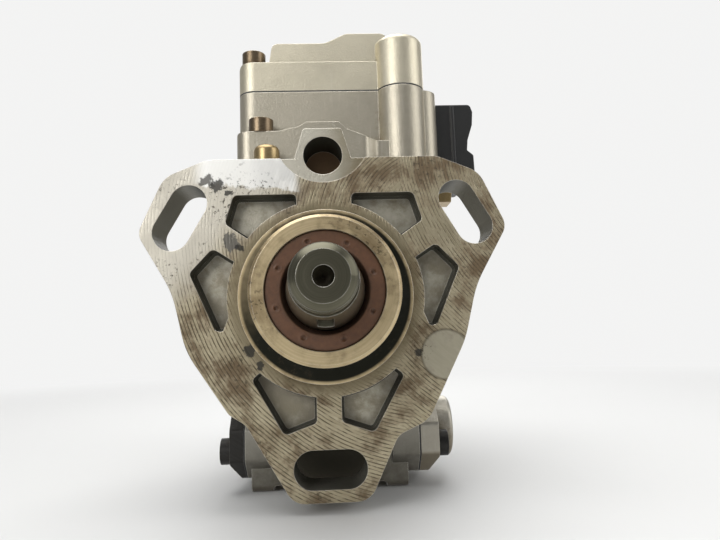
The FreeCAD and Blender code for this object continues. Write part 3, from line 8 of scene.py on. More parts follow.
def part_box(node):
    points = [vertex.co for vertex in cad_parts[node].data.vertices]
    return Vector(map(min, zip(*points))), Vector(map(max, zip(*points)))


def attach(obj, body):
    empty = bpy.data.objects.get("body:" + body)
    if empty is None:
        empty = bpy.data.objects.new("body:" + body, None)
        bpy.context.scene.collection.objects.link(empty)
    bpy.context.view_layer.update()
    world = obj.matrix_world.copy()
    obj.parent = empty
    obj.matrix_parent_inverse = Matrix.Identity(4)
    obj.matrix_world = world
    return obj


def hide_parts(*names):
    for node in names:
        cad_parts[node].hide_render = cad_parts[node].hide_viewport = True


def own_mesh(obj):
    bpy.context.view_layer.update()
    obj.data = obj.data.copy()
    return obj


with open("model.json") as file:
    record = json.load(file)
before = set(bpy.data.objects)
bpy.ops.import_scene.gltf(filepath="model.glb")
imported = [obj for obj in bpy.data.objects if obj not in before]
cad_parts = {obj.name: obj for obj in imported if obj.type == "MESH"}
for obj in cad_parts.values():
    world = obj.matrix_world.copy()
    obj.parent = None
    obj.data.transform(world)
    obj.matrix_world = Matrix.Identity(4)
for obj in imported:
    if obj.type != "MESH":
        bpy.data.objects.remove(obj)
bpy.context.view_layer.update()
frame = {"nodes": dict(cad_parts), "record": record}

nodes = frame["nodes"]

print("shader helpers")


def placeNode(tree, kind, settings=None, **inputs):
    # one shader node; an input is a value, or the socket that feeds it, and its name has _ for a blank
    node = tree.nodes.new(kind)
    for key, value in (settings or {}).items():
        setattr(node, key, value)
    for name, value in inputs.items():
        key = int(name[2:]) if name.startswith("in") and name[2:].isdigit() else name.replace("_", " ")
        socket = node.inputs[key]
        if isinstance(value, bpy.types.NodeSocket):
            tree.links.new(value, socket)
        else:
            socket.default_value = value
    return node


def calc(tree, operation, a, b=0.0, c=0.0, clamp=False):
    return placeNode(tree, "ShaderNodeMath", {"operation": operation, "use_clamp": clamp},
                     in0=a, in1=b, in2=c).outputs[0]


def noise(tree, vector, scale, detail=3.0, roughness=0.55):
    return placeNode(tree, "ShaderNodeTexNoise", None, Vector=vector, Scale=scale, Detail=detail,
                     Roughness=roughness).outputs["Fac"]


def ramp(tree, value, low, high):
    # 0 below low, 1 above high, smooth between
    return placeNode(tree, "ShaderNodeMapRange", {"interpolation_type": "SMOOTHSTEP"}, Value=value,
                     From_Min=low, From_Max=high).outputs["Result"]


def blendColour(tree, mask, a, b):
    node = tree.nodes.new("ShaderNodeMix")
    node.data_type = "RGBA"
    for socket, value in ((node.inputs[0], mask), (node.inputs[6], a), (node.inputs[7], b)):
        if isinstance(value, bpy.types.NodeSocket):
            tree.links.new(value, socket)
        elif hasattr(value, "__len__"):
            socket.default_value = (*value, 1.0)
        else:
            socket.default_value = value
    return node.outputs[2]


def stretched(tree, vector, scale, turn):
    node = placeNode(tree, "ShaderNodeMapping", None, Vector=vector)
    node.inputs["Scale"].default_value = scale
    node.inputs["Rotation"].default_value = turn
    return node.outputs[0]


def product(tree, *factors):
    result = factors[0]
    for factor in factors[1:]:
        result = calc(tree, "MULTIPLY", result, factor)
    return result


def coat(tree, under, mask, amount, colour):
    # one more layer over a colour, as strong as the mask times the amount
    return blendColour(tree, calc(tree, "MULTIPLY", mask, amount), under, colour)


def between(tree, value, low, high, soft):
    # 1 inside the two limits, 0 outside, with soft ends
    return product(tree, ramp(tree, value, low - soft, low + soft),
                   ramp(tree, value, high + soft, high - soft))


def apart(tree, first, second, place):
    # distance in a plane from a place
    a = calc(tree, "SUBTRACT", first, place[0])
    b = calc(tree, "SUBTRACT", second, place[1])
    squares = calc(tree, "ADD", calc(tree, "MULTIPLY", a, a), calc(tree, "MULTIPLY", b, b))
    return calc(tree, "SQRT", squares)


def newGroup(name, inputs, outputs):
    tree = bpy.data.node_groups.new(name, "ShaderNodeTree")
    for label, kind, value in inputs:
        socket = tree.interface.new_socket(label, in_out="INPUT", socket_type=kind)
        if value is not None:
            socket.default_value = value
    for label, kind in outputs:
        tree.interface.new_socket(label, in_out="OUTPUT", socket_type=kind)
    return tree, tree.nodes.new("NodeGroupInput").outputs, tree.nodes.new("NodeGroupOutput").inputs


def buildEdgeGroup():
    # where a rounded normal leaves the flat one, an edge has been rubbed bright
    inputs = [("Radius", "NodeSocketFloat", 0.0006), ("Breakup", "NodeSocketFloat", 900.0)]
    outputs = [("Mask", "NodeSocketFloat"), ("Normal", "NodeSocketVector")]
    tree, given, out = newGroup("edgeWear", inputs, outputs)
    rounded = placeNode(tree, "ShaderNodeBevel", {"samples": 6}, Radius=given["Radius"]).outputs[0]
    flat = placeNode(tree, "ShaderNodeNewGeometry").outputs["Normal"]
    dot = placeNode(tree, "ShaderNodeVectorMath", {"operation": "DOT_PRODUCT"}, in0=rounded,
                    in1=flat).outputs["Value"]
    turned = calc(tree, "SUBTRACT", 1.0, dot)
    where = placeNode(tree, "ShaderNodeTexCoord").outputs["Object"]
    patches = noise(tree, where, given["Breakup"], 3.0)
    worn = calc(tree, "MULTIPLY", turned, calc(tree, "MULTIPLY_ADD", patches, 16.0, -3.0), clamp=True)
    tree.links.new(worn, out["Mask"])
    tree.links.new(rounded, out["Normal"])
    return tree


def buildGrimeAndShadeGroup():
    # two sizes of noise make dirt patches, and painted shade darkens the hidden corners
    inputs = [("Scale", "NodeSocketFloat", 90.0), ("Amount", "NodeSocketFloat", 0.5),
              ("Corner Reach", "NodeSocketFloat", 0.004)]
    tree, given, out = newGroup("grimeAndShade", inputs, [("Mask", "NodeSocketFloat")])
    where = placeNode(tree, "ShaderNodeTexCoord").outputs["Object"]
    big = noise(tree, where, given["Scale"], 4.0, 0.62)
    fine = noise(tree, where, calc(tree, "MULTIPLY", given["Scale"], 7.0), 3.0, 0.7)
    both = calc(tree, "MULTIPLY_ADD", fine, 0.35, calc(tree, "MULTIPLY", big, 0.65))
    hidden = placeNode(tree, "ShaderNodeAmbientOcclusion", {"samples": 4},
                       Distance=given["Corner Reach"]).outputs["AO"]
    # painted shade: corners that the AO node finds hidden are made darker
    cornerShade = calc(tree, "MULTIPLY", calc(tree, "SUBTRACT", 1.0, hidden), 0.55)
    level = calc(tree, "ADD", both, cornerShade)
    floor = calc(tree, "SUBTRACT", 0.78, calc(tree, "MULTIPLY", given["Amount"], 0.36))
    mask = placeNode(tree, "ShaderNodeMapRange", {"interpolation_type": "SMOOTHSTEP"}, Value=level,
                     From_Min=floor, From_Max=calc(tree, "ADD", floor, 0.22)).outputs["Result"]
    tree.links.new(mask, out["Mask"])
    return tree


def buildCastGroup():
    # the fine pebbled skin of a die casting, with a few pores
    tree, given, out = newGroup("castSkin", [("Scale", "NodeSocketFloat", 1500.0)],
                                [("Height", "NodeSocketFloat")])
    where = placeNode(tree, "ShaderNodeTexCoord").outputs["Object"]
    pebble = noise(tree, where, given["Scale"], 3.0, 0.6)
    cells = placeNode(tree, "ShaderNodeTexVoronoi", None, Vector=where,
                      Scale=calc(tree, "MULTIPLY", given["Scale"], 0.35))
    pores = ramp(tree, cells.outputs["Distance"], 0.10, 0.04)
    tree.links.new(calc(tree, "SUBTRACT", pebble, calc(tree, "MULTIPLY", pores, 0.6)), out["Height"])
    return tree


def buildScratchGroup():
    # noise drawn out along one axis leaves thin lines
    inputs = [("Vector", "NodeSocketVector", None), ("Scale", "NodeSocketFloat", 400.0)]
    tree, given, out = newGroup("scratches", inputs, [("Lines", "NodeSocketFloat")])
    drawn = noise(tree, given["Vector"], given["Scale"], 2.0, 0.7)
    tree.links.new(ramp(tree, drawn, 0.60, 0.72), out["Lines"])
    return tree


edgeGroup = buildEdgeGroup()
grimeAndShadeGroup = buildGrimeAndShadeGroup()
castGroup = buildCastGroup()
scratchGroup = buildScratchGroup()


def useGroup(tree, group, **inputs):
    node = tree.nodes.new("ShaderNodeGroup")
    node.node_tree = group
    for name, value in inputs.items():
        socket = node.inputs[name.replace("_", " ")]
        if isinstance(value, bpy.types.NodeSocket):
            tree.links.new(value, socket)
        else:
            socket.default_value = value
    return node.outputs


def startMaterial(name, metallic, roughness):
    material = bpy.data.materials.new(name)
    material.use_nodes = True
    tree = material.node_tree
    shader = tree.nodes["Principled BSDF"]
    shader.inputs["Metallic"].default_value = metallic
    shader.inputs["Roughness"].default_value = roughness
    where = placeNode(tree, "ShaderNodeTexCoord").outputs["Object"]
    return material, tree, shader, where


def finishMaterial(tree, shader, colour, roughness=None, height=None, normal=None, strength=0.3,
                   distance=0.0002):
    tree.links.new(colour, shader.inputs["Base Color"])
    if roughness is not None:
        tree.links.new(roughness, shader.inputs["Roughness"])
    if height is not None:
        bump = placeNode(tree, "ShaderNodeBump", None, Height=height, Strength=strength,
                         Distance=distance)
        if normal is not None:
            tree.links.new(normal, bump.inputs["Normal"])
        normal = bump.outputs[0]
    if normal is not None:
        tree.links.new(normal, shader.inputs["Normal"])


def wearDirtAndShade(tree, look):
    # the bright rubbed edges, and the dirt with painted shade in corners, that every material here has
    edge = useGroup(tree, edgeGroup, Radius=look["edge"], Breakup=look["breakup"])
    dirtAndShade = useGroup(tree, grimeAndShadeGroup, Scale=look["grimeScale"], Amount=look["grimeAndShade"],
                    Corner_Reach=look["cornerReach"])["Mask"]
    return edge, dirtAndShade


ringLook = {"crossing": 60.0, "following": 1.5, "grain": (45.0, 2.0, 0.6)}


def latheRings(tree, radius, along, across):
    # noise that changes fast with radius and length but slowly round the axis
    rings = placeNode(tree, "ShaderNodeCombineXYZ", None,
                      X=calc(tree, "MULTIPLY", radius, ringLook["crossing"]),
                      Y=calc(tree, "MULTIPLY", along, ringLook["crossing"]),
                      Z=calc(tree, "MULTIPLY", across, ringLook["following"])).outputs[0]
    return noise(tree, rings, *ringLook["grain"])


def finishWorn(tree, shader, tone, look):
    # two tones, then dirt with painted shade in corners, and rubbed edges; dirt, shade and tone also
    # change the roughness
    edge, dirtAndShade = wearDirtAndShade(tree, look)
    base = blendColour(tree, tone, look["dark"], look["light"])
    base = coat(tree, base, dirtAndShade, look["dirtAndShadeStrength"], look["dirtAndShadeColour"])
    base = coat(tree, base, edge["Mask"], look["edgeStrength"], look["edgeColour"])
    toneRough = calc(tree, "MULTIPLY_ADD", tone, look["toneRough"],
                     look["roughness"] - look["toneRough"] / 2)
    rough = calc(tree, "MULTIPLY_ADD", dirtAndShade, look["dirtRough"], toneRough)
    finishMaterial(tree, shader, base, rough, tone, edge["Normal"], look["bump"], look["bumpDepth"])


print("materials")


def castMaterial(name, look):
    # die-cast aluminium: pebbled skin, bright rubbed edges, oil-brown dirt, painted shade in corners and
    # underneath
    material, tree, shader, where = startMaterial(name, 0.9, look["roughness"])
    edge, dirtAndShade = wearDirtAndShade(tree, look)
    skin = useGroup(tree, castGroup, Scale=look["skin"])
    tone = noise(tree, where, *look["toneGrain"])
    fine = noise(tree, where, *look["fineGrain"])
    drawn = stretched(tree, where, look["scuffStretch"], look["scuffTurn"])
    scuffs = useGroup(tree, scratchGroup, Vector=drawn, Scale=look["scuffScale"])["Lines"]
    base = blendColour(tree, calc(tree, "MULTIPLY_ADD", fine, 0.5, calc(tree, "MULTIPLY", tone, 0.5)),
                       look["dark"], look["light"])
    base = coat(tree, base, dirtAndShade, look["dirtAndShadeStrength"], look["dirtAndShadeColour"])
    specks = ramp(tree, noise(tree, where, *look["speckGrain"]), *look["speckBand"])
    base = coat(tree, base, product(tree, specks, dirtAndShade), look["speckStrength"], look["dirtAndShadeColour"])
    base = coat(tree, base, scuffs, look["scuffStrength"], look["edgeColour"])
    # painted shade: faces that point down are darkened with the dirt colour, by the amount under
    normal = placeNode(tree, "ShaderNodeTexCoord").outputs["Normal"]
    upward = placeNode(tree, "ShaderNodeSeparateXYZ", None, Vector=normal).outputs["Z"]
    paintedUnderShade = ramp(tree, upward, *look["underShadeBand"])
    base = coat(tree, base, paintedUnderShade, look["under"], look["dirtAndShadeColour"])
    base = coat(tree, base, edge["Mask"], look["edgeStrength"], look["edgeColour"])
    toneRough = calc(tree, "MULTIPLY_ADD", tone, look["toneRough"],
                     look["roughness"] - look["smoother"])
    rough = calc(tree, "MULTIPLY_ADD", dirtAndShade, look["dirtRough"], toneRough)
    finishMaterial(tree, shader, base, rough, skin["Height"], edge["Normal"], look["bump"],
                   look["bumpDepth"])
    return material


def shellMaterial(look):
    # the pump casting: a face-milled flange with tool arcs, stains and dirt, painted shade and shadow
    #     # in its hollows and a painted glare; turned pilot and nose; cast skin behind
    material, tree, shader, where = startMaterial("pumpCasting", 0.8, 0.4)
    axes = placeNode(tree, "ShaderNodeSeparateXYZ", None, Vector=where).outputs
    x, y, z = axes["X"], axes["Y"], axes["Z"]
    normal = placeNode(tree, "ShaderNodeTexCoord").outputs["Normal"]
    forward = placeNode(tree, "ShaderNodeSeparateXYZ", None, Vector=normal).outputs["Y"]
    facing = calc(tree, "ABSOLUTE", forward)
    amounts, bands, grain = look["amounts"], look["bands"], look["grain"]
    flat = ramp(tree, facing, *bands["flat"])
    radius = apart(tree, x, z, (0.0, 0.0))
    edge, dirtAndShade = wearDirtAndShade(tree, look)
    skin = useGroup(tree, castGroup, Scale=look["skin"])
    broad = noise(tree, where, *grain["broad"])
    fine = noise(tree, where, *grain["fine"])

    # cast skin; painted shade darkens the walls of pockets and slots, and a painted shadow makes it
    #     # almost black under the lower slot
    base = blendColour(tree, broad, look["castDark"], look["castLight"])
    base = coat(tree, base, dirtAndShade, amounts["dirtAndShade"], look["dirtAndShade"])
    inFlange = product(tree, between(tree, y, *look["flangeDepth"], look["soft"]),
                       ramp(tree, radius, *look["flangeReach"]))
    shadedWalls = product(tree, inFlange, calc(tree, "SUBTRACT", 1.0, flat))
    base = coat(tree, base, shadedWalls, amounts["wall"], look["wall"])
    # painted shadow: behind the flange, low and near the middle, the casting is made almost black
    slotShadow = product(tree, ramp(tree, y, *look["slotShadowBehind"]), ramp(tree, z, *look["slotShadowBelow"]),
                       ramp(tree, calc(tree, "ABSOLUTE", x), *look["slotShadowHalfWidth"]),
                       ramp(tree, y, *look["slotShadowEnd"]))
    base = coat(tree, base, slotShadow, amounts["oil"], look["oil"])
    bossHole = product(tree, ramp(tree, apart(tree, x, z, look["bossPlace"]), *look["holeReach"]),
                       between(tree, y, *look["holeDepth"], look["soft"]))
    # the boss hole: painted shade on its walls, rust on its flat bottom
    holeTone = blendColour(tree, flat, look["wall"], look["rust"])
    base = coat(tree, base, bossHole, amounts["hole"], holeTone)

    # the boss and the ring round it are faced a little deeper; pocket floors are tan and soiled
    faced = product(tree, between(tree, y, *look["facedDepth"], look["soft"] / 2), flat)
    # painted shading: the faced boss is lighter on the left and darker towards the right
    facedShadeSide = ramp(tree, calc(tree, "MULTIPLY_ADD", broad, 0.02, x), *look["facedAcross"])
    facedTone = blendColour(tree, facedShadeSide, look["faced"], look["faceDark"])
    facedMask = product(tree, faced, calc(tree, "MULTIPLY_ADD", fine, 0.3, 0.75))
    base = blendColour(tree, facedMask, base, facedTone)
    # painted shade: behind the flange the casting gets darker towards the bottom
    low = product(tree, ramp(tree, y, *look["lowBehind"]), ramp(tree, z, *look["lowBelow"]))
    lowShadeMask = product(tree, low, calc(tree, "MULTIPLY_ADD", fine, 0.6, 0.35))
    base = blendColour(tree, lowShadeMask, base, look["lowShade"])
    floors = product(tree, between(tree, y, *look["floorDepth"], look["soft"]), flat)
    mottling = calc(tree, "MULTIPLY_ADD", fine, 0.4, calc(tree, "MULTIPLY", broad, 0.6))
    floorTone = blendColour(tree, ramp(tree, mottling, *bands["mottling"]), look["floorLight"],
                            look["floorDark"])
    floorMask = product(tree, floors, calc(tree, "MULTIPLY_ADD", dirtAndShade, -0.5, 0.95))
    base = blendColour(tree, floorMask, base, floorTone)

    # the milled face: two sweeps of the cutter, one over the left and the foot, one over the right
    milled = product(tree, between(tree, y, *look["milledDepth"], look["soft"]), flat)
    wander = calc(tree, "MULTIPLY", noise(tree, where, *grain["wander"]), look["wander"])

    def sweep(centre):
        reach = calc(tree, "ADD", apart(tree, x, z, centre), wander)
        count = calc(tree, "DIVIDE", reach, look["spacing"])
        valley = calc(tree, "ABSOLUTE", calc(tree, "SUBTRACT", calc(tree, "FRACT", count), 0.5))
        along = [placeNode(tree, "ShaderNodeCombineXYZ", None, X=calc(tree, "MULTIPLY", count, step),
                           Y=calc(tree, "MULTIPLY", x, rate),
                           Z=calc(tree, "MULTIPLY", z, rate)).outputs[0]
                 for step, rate in ((0.9, 90.0), (1.9, 330.0))]
        dashes = ramp(tree, noise(tree, along[1], *grain["dashes"]), *bands["dashes"])
        streaks = noise(tree, along[0], *grain["streaks"])
        return product(tree, ramp(tree, valley, *bands["valley"]), dashes), streaks

    leftLines, leftStreaks = sweep(look["leftCentre"])
    rightLines, rightStreaks = sweep(look["rightCentre"])
    side = ramp(tree, calc(tree, "MULTIPLY_ADD", broad, 0.010, x), *look["sweepsMeet"])
    lines = calc(tree, "ADD", product(tree, leftLines, calc(tree, "SUBTRACT", 1.0, side)),
                 product(tree, rightLines, side))
    streaks = calc(tree, "ADD", product(tree, leftStreaks, calc(tree, "SUBTRACT", 1.0, side)),
                   product(tree, rightStreaks, side))
    across = calc(tree, "MULTIPLY_ADD", x, -0.6, calc(tree, "MULTIPLY", z, 0.6))
    # cleaner towards the top left, with fewer milling lines and stains; the lighter colour there is also
    # a painted highlight
    cleanAndLit = ramp(tree, calc(tree, "MULTIPLY_ADD", broad, 0.016, across), *look["cleanAndLitAcross"])
    spot = ramp(tree, apart(tree, x, z, look["spotPlace"]), *look["spotReach"])
    spotRim = between(tree, apart(tree, x, z, look["spotPlace"]), *look["spotRim"], 0.0003)
    # painted highlight: a near-white glare on the upper left of the milled face, where the milling lines
    # fade
    glareEdge = calc(tree, "ADD", calc(tree, "MULTIPLY_ADD", x, 0.08, z),
                calc(tree, "MULTIPLY_ADD", fine, 0.0060, -0.0030))
    washed = product(tree, ramp(tree, glareEdge, *look["glareHeight"]),
                     ramp(tree, x, *look["glareRight"]), ramp(tree, x, *look["glareLeft"]))
    nearPilot = ramp(tree, calc(tree, "MULTIPLY_ADD", broad, 0.003, radius), *look["pilotReach"])
    strength = product(tree, calc(tree, "MULTIPLY_ADD", cleanAndLit, -0.80, 1.0),
                       ramp(tree, fine, *bands["broken"]),
                       calc(tree, "MULTIPLY_ADD", nearPilot, -0.8, 1.0),
                       calc(tree, "SUBTRACT", 1.0, spot),
                       calc(tree, "MULTIPLY_ADD", washed, -0.85, 1.0))
    grooves = product(tree, lines, strength, milled)
    face = blendColour(tree, streaks, look["faceDark"], look["faceLight"])
    brownPatches = calc(tree, "MULTIPLY", noise(tree, where, *grain["brown"]), 0.75)
    brown = ramp(tree, calc(tree, "ADD", brownPatches, calc(tree, "MULTIPLY", streaks, 0.25)),
                 *bands["brown"])
    stainMask = product(tree, brown, calc(tree, "MULTIPLY_ADD", cleanAndLit, -0.75, 0.85))
    face = blendColour(tree, stainMask, face, look["stain"])
    face = coat(tree, face, cleanAndLit, amounts["bareAndLit"], look["bareAndLit"])
    face = coat(tree, face, washed, amounts["washed"], look["washed"])
    face = coat(tree, face, spot, amounts["spot"], look["spot"])
    face = coat(tree, face, nearPilot, amounts["olive"], look["olive"])
    face = coat(tree, face, spotRim, amounts["spotRim"], look["groove"])
    face = coat(tree, face, grooves, amounts["groove"], look["groove"])
    # painted shade: near hidden corners the milled face turns dark brown
    hidden = placeNode(tree, "ShaderNodeAmbientOcclusion", {"samples": 4}, Distance=0.010).outputs["AO"]
    faceCornerShade = ramp(tree, hidden, *bands["hidden"])
    face = coat(tree, face, faceCornerShade, amounts["hidden"], look["cornerShadeBrown"])
    for gougeX, gougeZ, reach, shade in look["gouges"]:
        ripple = calc(tree, "MULTIPLY", fine, reach * 3.4)
        distance = calc(tree, "ADD", apart(tree, x, z, (gougeX, gougeZ)), ripple)
        mark = ramp(tree, distance, reach * 2.65, reach * 2.35)
        face = coat(tree, face, mark, amounts["gouge"], (shade, shade * 0.96, shade * 0.86))
    pits = ramp(tree, noise(tree, where, *grain["pits"]), *bands["pits"])
    pitPatches = ramp(tree, noise(tree, where, *grain["pitPatches"]), *bands["pitPatches"])
    pitted = calc(tree, "MULTIPLY", pitPatches, amounts["pitPatches"])
    for zoneX, zoneZ, reach in look["pitZones"]:
        zone = ramp(tree, apart(tree, x, z, (zoneX, zoneZ)), reach, reach * 0.4)
        pitted = calc(tree, "MAXIMUM", pitted, zone)
    face = coat(tree, face, product(tree, pits, pitted), amounts["pit"], look["pit"])
    base = blendColour(tree, milled, base, face)

    # painted shade darkens the pilot, most on its lower right; the nose has a golden film with fine
    # turning rings
    lathe = latheRings(tree, radius, y, x)
    turnedPart = ramp(tree, y, *look["noseStart"])
    turned = blendColour(tree, lathe, look["turnedDark"], look["turnedLight"])
    blotches = ramp(tree, calc(tree, "MULTIPLY_ADD", fine, 0.4, broad), *bands["blotches"])
    turned = coat(tree, turned, blotches, amounts["blotch"], look["stain"])
    lowSide = calc(tree, "MULTIPLY_ADD", across, 12.0, calc(tree, "MULTIPLY", broad, -0.5))
    pilotShade = product(tree, ramp(tree, y, *look["pilotShadeStart"]), ramp(tree, radius, *look["pilotShadeReach"]))
    oilRing = product(tree, pilotShade, ramp(tree, lowSide, *bands["oilRing"]))
    pilotShadeMask = calc(tree, "MULTIPLY_ADD", oilRing, 0.55, product(tree, pilotShade, 0.45))
    turned = blendColour(tree, pilotShadeMask, turned, look["oil"])
    nosePits = product(tree, pits, ramp(tree, broad, *bands["nosePits"]))
    turned = coat(tree, turned, nosePits, amounts["nosePit"], look["pit"])
    base = blendColour(tree, turnedPart, base, turned)

    base = coat(tree, base, edge["Mask"], amounts["edge"], look["edgeColour"])
    soiled = calc(tree, "MAXIMUM", calc(tree, "MAXIMUM", calc(tree, "MULTIPLY", dirtAndShade, 0.7), shadedWalls),
                  product(tree, brown, milled))
    tree.links.new(calc(tree, "MULTIPLY_ADD", soiled, -0.45, 0.88), shader.inputs["Metallic"])
    rough = calc(tree, "MULTIPLY_ADD", soiled, 0.20,
                 calc(tree, "MULTIPLY_ADD", broad, 0.14, look["roughness"]))
    machined = calc(tree, "MAXIMUM", milled, turnedPart)
    castHeight = product(tree, skin["Height"], calc(tree, "SUBTRACT", 1.0, machined))
    height = calc(tree, "ADD", calc(tree, "MULTIPLY", grooves, -0.8),
                  calc(tree, "ADD", castHeight, calc(tree, "MULTIPLY", fine, 0.25)))
    finishMaterial(tree, shader, base, rough, height, edge["Normal"], look["bump"],
                   look["bumpDepth"])
    return material


def turnedMaterial(name, look):
    # turned or ground metal: fine rings round the shaft's axis, a few stains and painted shade in corners
    material, tree, shader, where = startMaterial(name, 1.0, look["roughness"])
    axes = placeNode(tree, "ShaderNodeSeparateXYZ", None, Vector=where).outputs
    radius = apart(tree, axes["X"], axes["Z"], (0.0, 0.0))
    finishWorn(tree, shader, latheRings(tree, radius, axes["Y"], axes["X"]), look)
    return material


def mouldedMaterial(name, look):
    # moulded plastic or rubber with a faint skin
    material, tree, shader, where = startMaterial(name, 0.0, look["roughness"])
    finishWorn(tree, shader, noise(tree, where, look["skin"]), look)
    return material


flangeLook = {
    "castDark": (0.24, 0.23, 0.19), "castLight": (0.42, 0.40, 0.35), "dirtAndShade": (0.12, 0.09, 0.055),
    # next line: painted shade for walls, near-black painted shadow, then rust
    "wall": (0.050, 0.050, 0.036), "oil": (0.016, 0.016, 0.011), "rust": (0.20, 0.115, 0.055),
    "faceDark": (0.26, 0.215, 0.13), "faceLight": (0.64, 0.57, 0.41), "stain": (0.105, 0.062, 0.026),
    "olive": (0.24, 0.205, 0.125), "faced": (0.60, 0.565, 0.47), "lowShade": (0.055, 0.048, 0.034),
    "floorLight": (0.52, 0.49, 0.40), "floorDark": (0.27, 0.24, 0.17),
    "bareAndLit": (0.62, 0.59, 0.52), "washed": (0.86, 0.85, 0.81), "spot": (0.42, 0.40, 0.32),
    "groove": (0.042, 0.031, 0.017), "cornerShadeBrown": (0.10, 0.075, 0.04), "pit": (0.045, 0.035, 0.022),
    "turnedDark": (0.44, 0.34, 0.185), "turnedLight": (0.70, 0.575, 0.36),
    "edgeColour": (0.84, 0.81, 0.74),
    "grimeAndShade": 0.45, "grimeScale": 60.0, "cornerReach": 0.006, "edge": 0.00035, "breakup": 600.0,
    "skin": 1500.0, "roughness": 0.34, "bump": 0.5, "bumpDepth": 0.0002,
    "spacing": 0.00098, "wander": 0.00098 * 1.2,  # of the cutter lines
    "leftCentre": (0.034, 0.020), "rightCentre": (0.090, 0.047), "bossPlace": (0.0, 0.0429),
    "spotPlace": (0.0345, -0.0178),
    # the depths, behind the mounting face, between which each kind of surface lies
    "milledDepth": (-0.0003, 0.0003), "facedDepth": (0.0004, 0.0007), "floorDepth": (0.0050, 0.0062),
    "flangeDepth": (0.0004, 0.0149), "holeDepth": (0.0003, 0.0160), "soft": 0.0002,
    # where a tone fades in: the place where it is gone, then the place where it is full
    "flangeReach": (0.056, 0.050), "holeReach": (0.0066, 0.0061), "pilotReach": (0.0305, 0.0285),
    "slotShadowBehind": (0.0150, 0.0165), "slotShadowBelow": (-0.038, -0.044), "slotShadowHalfWidth": (0.020, 0.012),
    "slotShadowEnd": (0.034, 0.030), "lowBehind": (0.0148, 0.0156), "lowBelow": (-0.034, -0.058),
    "facedAcross": (0.006, 0.022), "sweepsMeet": (0.024, 0.030), "cleanAndLitAcross": (0.028, 0.040),
    "glareHeight": (0.0310, 0.0322), "glareRight": (-0.0065, -0.0095), "glareLeft": (-0.0400, -0.0345),
    "spotReach": (0.0074, 0.0070), "noseStart": (-0.0006, -0.0010), "pilotShadeStart": (-0.0195, -0.0175),
    "pilotShadeReach": (0.0246, 0.0238),
    "spotRim": (0.0069, 0.0076),  # inner and outer
    # the same for a noise or a direction, which has no unit
    "bands": {"flat": (0.80, 0.95), "mottling": (0.38, 0.62), "dashes": (0.36, 0.56),
              "valley": (0.26, 0.45), "broken": (0.25, 0.48), "brown": (0.45, 0.60),
              "hidden": (0.92, 0.45), "pits": (0.55, 0.63),
              "pitPatches": (0.50, 0.66), "blotches": (0.58, 0.86), "oilRing": (0.15, -0.25),
              "nosePits": (0.45, 0.62)},
    # scale, detail and roughness of each noise
    "grain": {"broad": (38.0, 4.0, 0.6), "fine": (300.0, 4.0, 0.68), "wander": (45.0, 2.0),
              "dashes": (1.0, 3.0, 0.65), "streaks": (1.0, 2.0, 0.6), "brown": (70.0, 5.0, 0.66),
              "pits": (700.0, 3.0, 0.72), "pitPatches": (75.0, 3.0, 0.6)},
    # how strongly each layer covers what is below it
    "amounts": {"dirtAndShade": 0.6, "wall": 0.85, "oil": 0.92, "hole": 0.9, "bareAndLit": 0.75, "washed": 0.95,
                "spot": 0.6, "spotRim": 0.5, "olive": 0.55, "groove": 0.78, "hidden": 0.7, "gouge": 0.9,
                "pitPatches": 0.8, "pit": 0.85, "nosePit": 0.7, "blotch": 0.6, "edge": 0.55},
    # x, z and reach of each zone, and a shade more for each gouge
    "pitZones": ((-0.0275, 0.0290, 0.0105), (-0.0190, 0.0335, 0.0060), (0.0215, 0.0270, 0.0080),
                 (0.0300, 0.0390, 0.0060), (0.0270, -0.0160, 0.0050), (-0.0230, -0.0420, 0.0080),
                 (0.0240, -0.0500, 0.0070), (-0.0470, 0.0080, 0.0060)),
    "gouges": ((-0.0345, 0.0353, 0.0024, 0.11), (-0.0318, 0.0338, 0.0022, 0.05),
               (-0.0285, 0.0315, 0.0014, 0.03), (-0.0275, 0.0170, 0.0027, 0.12),
               (-0.0250, 0.0150, 0.0014, 0.03), (0.0262, -0.0170, 0.0016, 0.03),
               (-0.0285, 0.0250, 0.0011, 0.03), (0.0225, 0.0300, 0.0008, 0.04),
               (0.0212, 0.0255, 0.0008, 0.04), (-0.0225, -0.0150, 0.0020, 0.04),
               (-0.0195, -0.0192, 0.0016, 0.04))}
castLook = {"dark": (0.35, 0.32, 0.25), "light": (0.57, 0.525, 0.43), "roughness": 0.42, "edge": 0.00035,
            "grimeAndShade": 0.42, "grimeScale": 70.0, "dirtAndShadeStrength": 0.6, "dirtAndShadeColour": (0.14, 0.11, 0.065),
            "edgeColour": (0.78, 0.745, 0.66), "edgeStrength": 0.45, "breakup": 700.0,
            "cornerReach": 0.005, "skin": 1500.0, "bump": 0.35, "bumpDepth": 0.00025, "under": 0.35,
            "underShadeBand": (0.25, -0.7),
            "toneGrain": (45.0, 3.0), "fineGrain": (420.0, 4.0, 0.7), "speckGrain": (900.0, 2.0, 0.6),
            "speckBand": (0.66, 0.72), "speckStrength": 0.8, "scuffStretch": (1.0, 0.12, 0.12),
            "scuffTurn": (0.4, 0.3, 0.9), "scuffScale": 520.0, "scuffStrength": 0.14, "toneRough": 0.15,
            "smoother": 0.08, "dirtRough": 0.25}
coverLook = dict(castLook, dark=(0.51, 0.465, 0.355), light=(0.75, 0.695, 0.545), grimeAndShade=0.28)
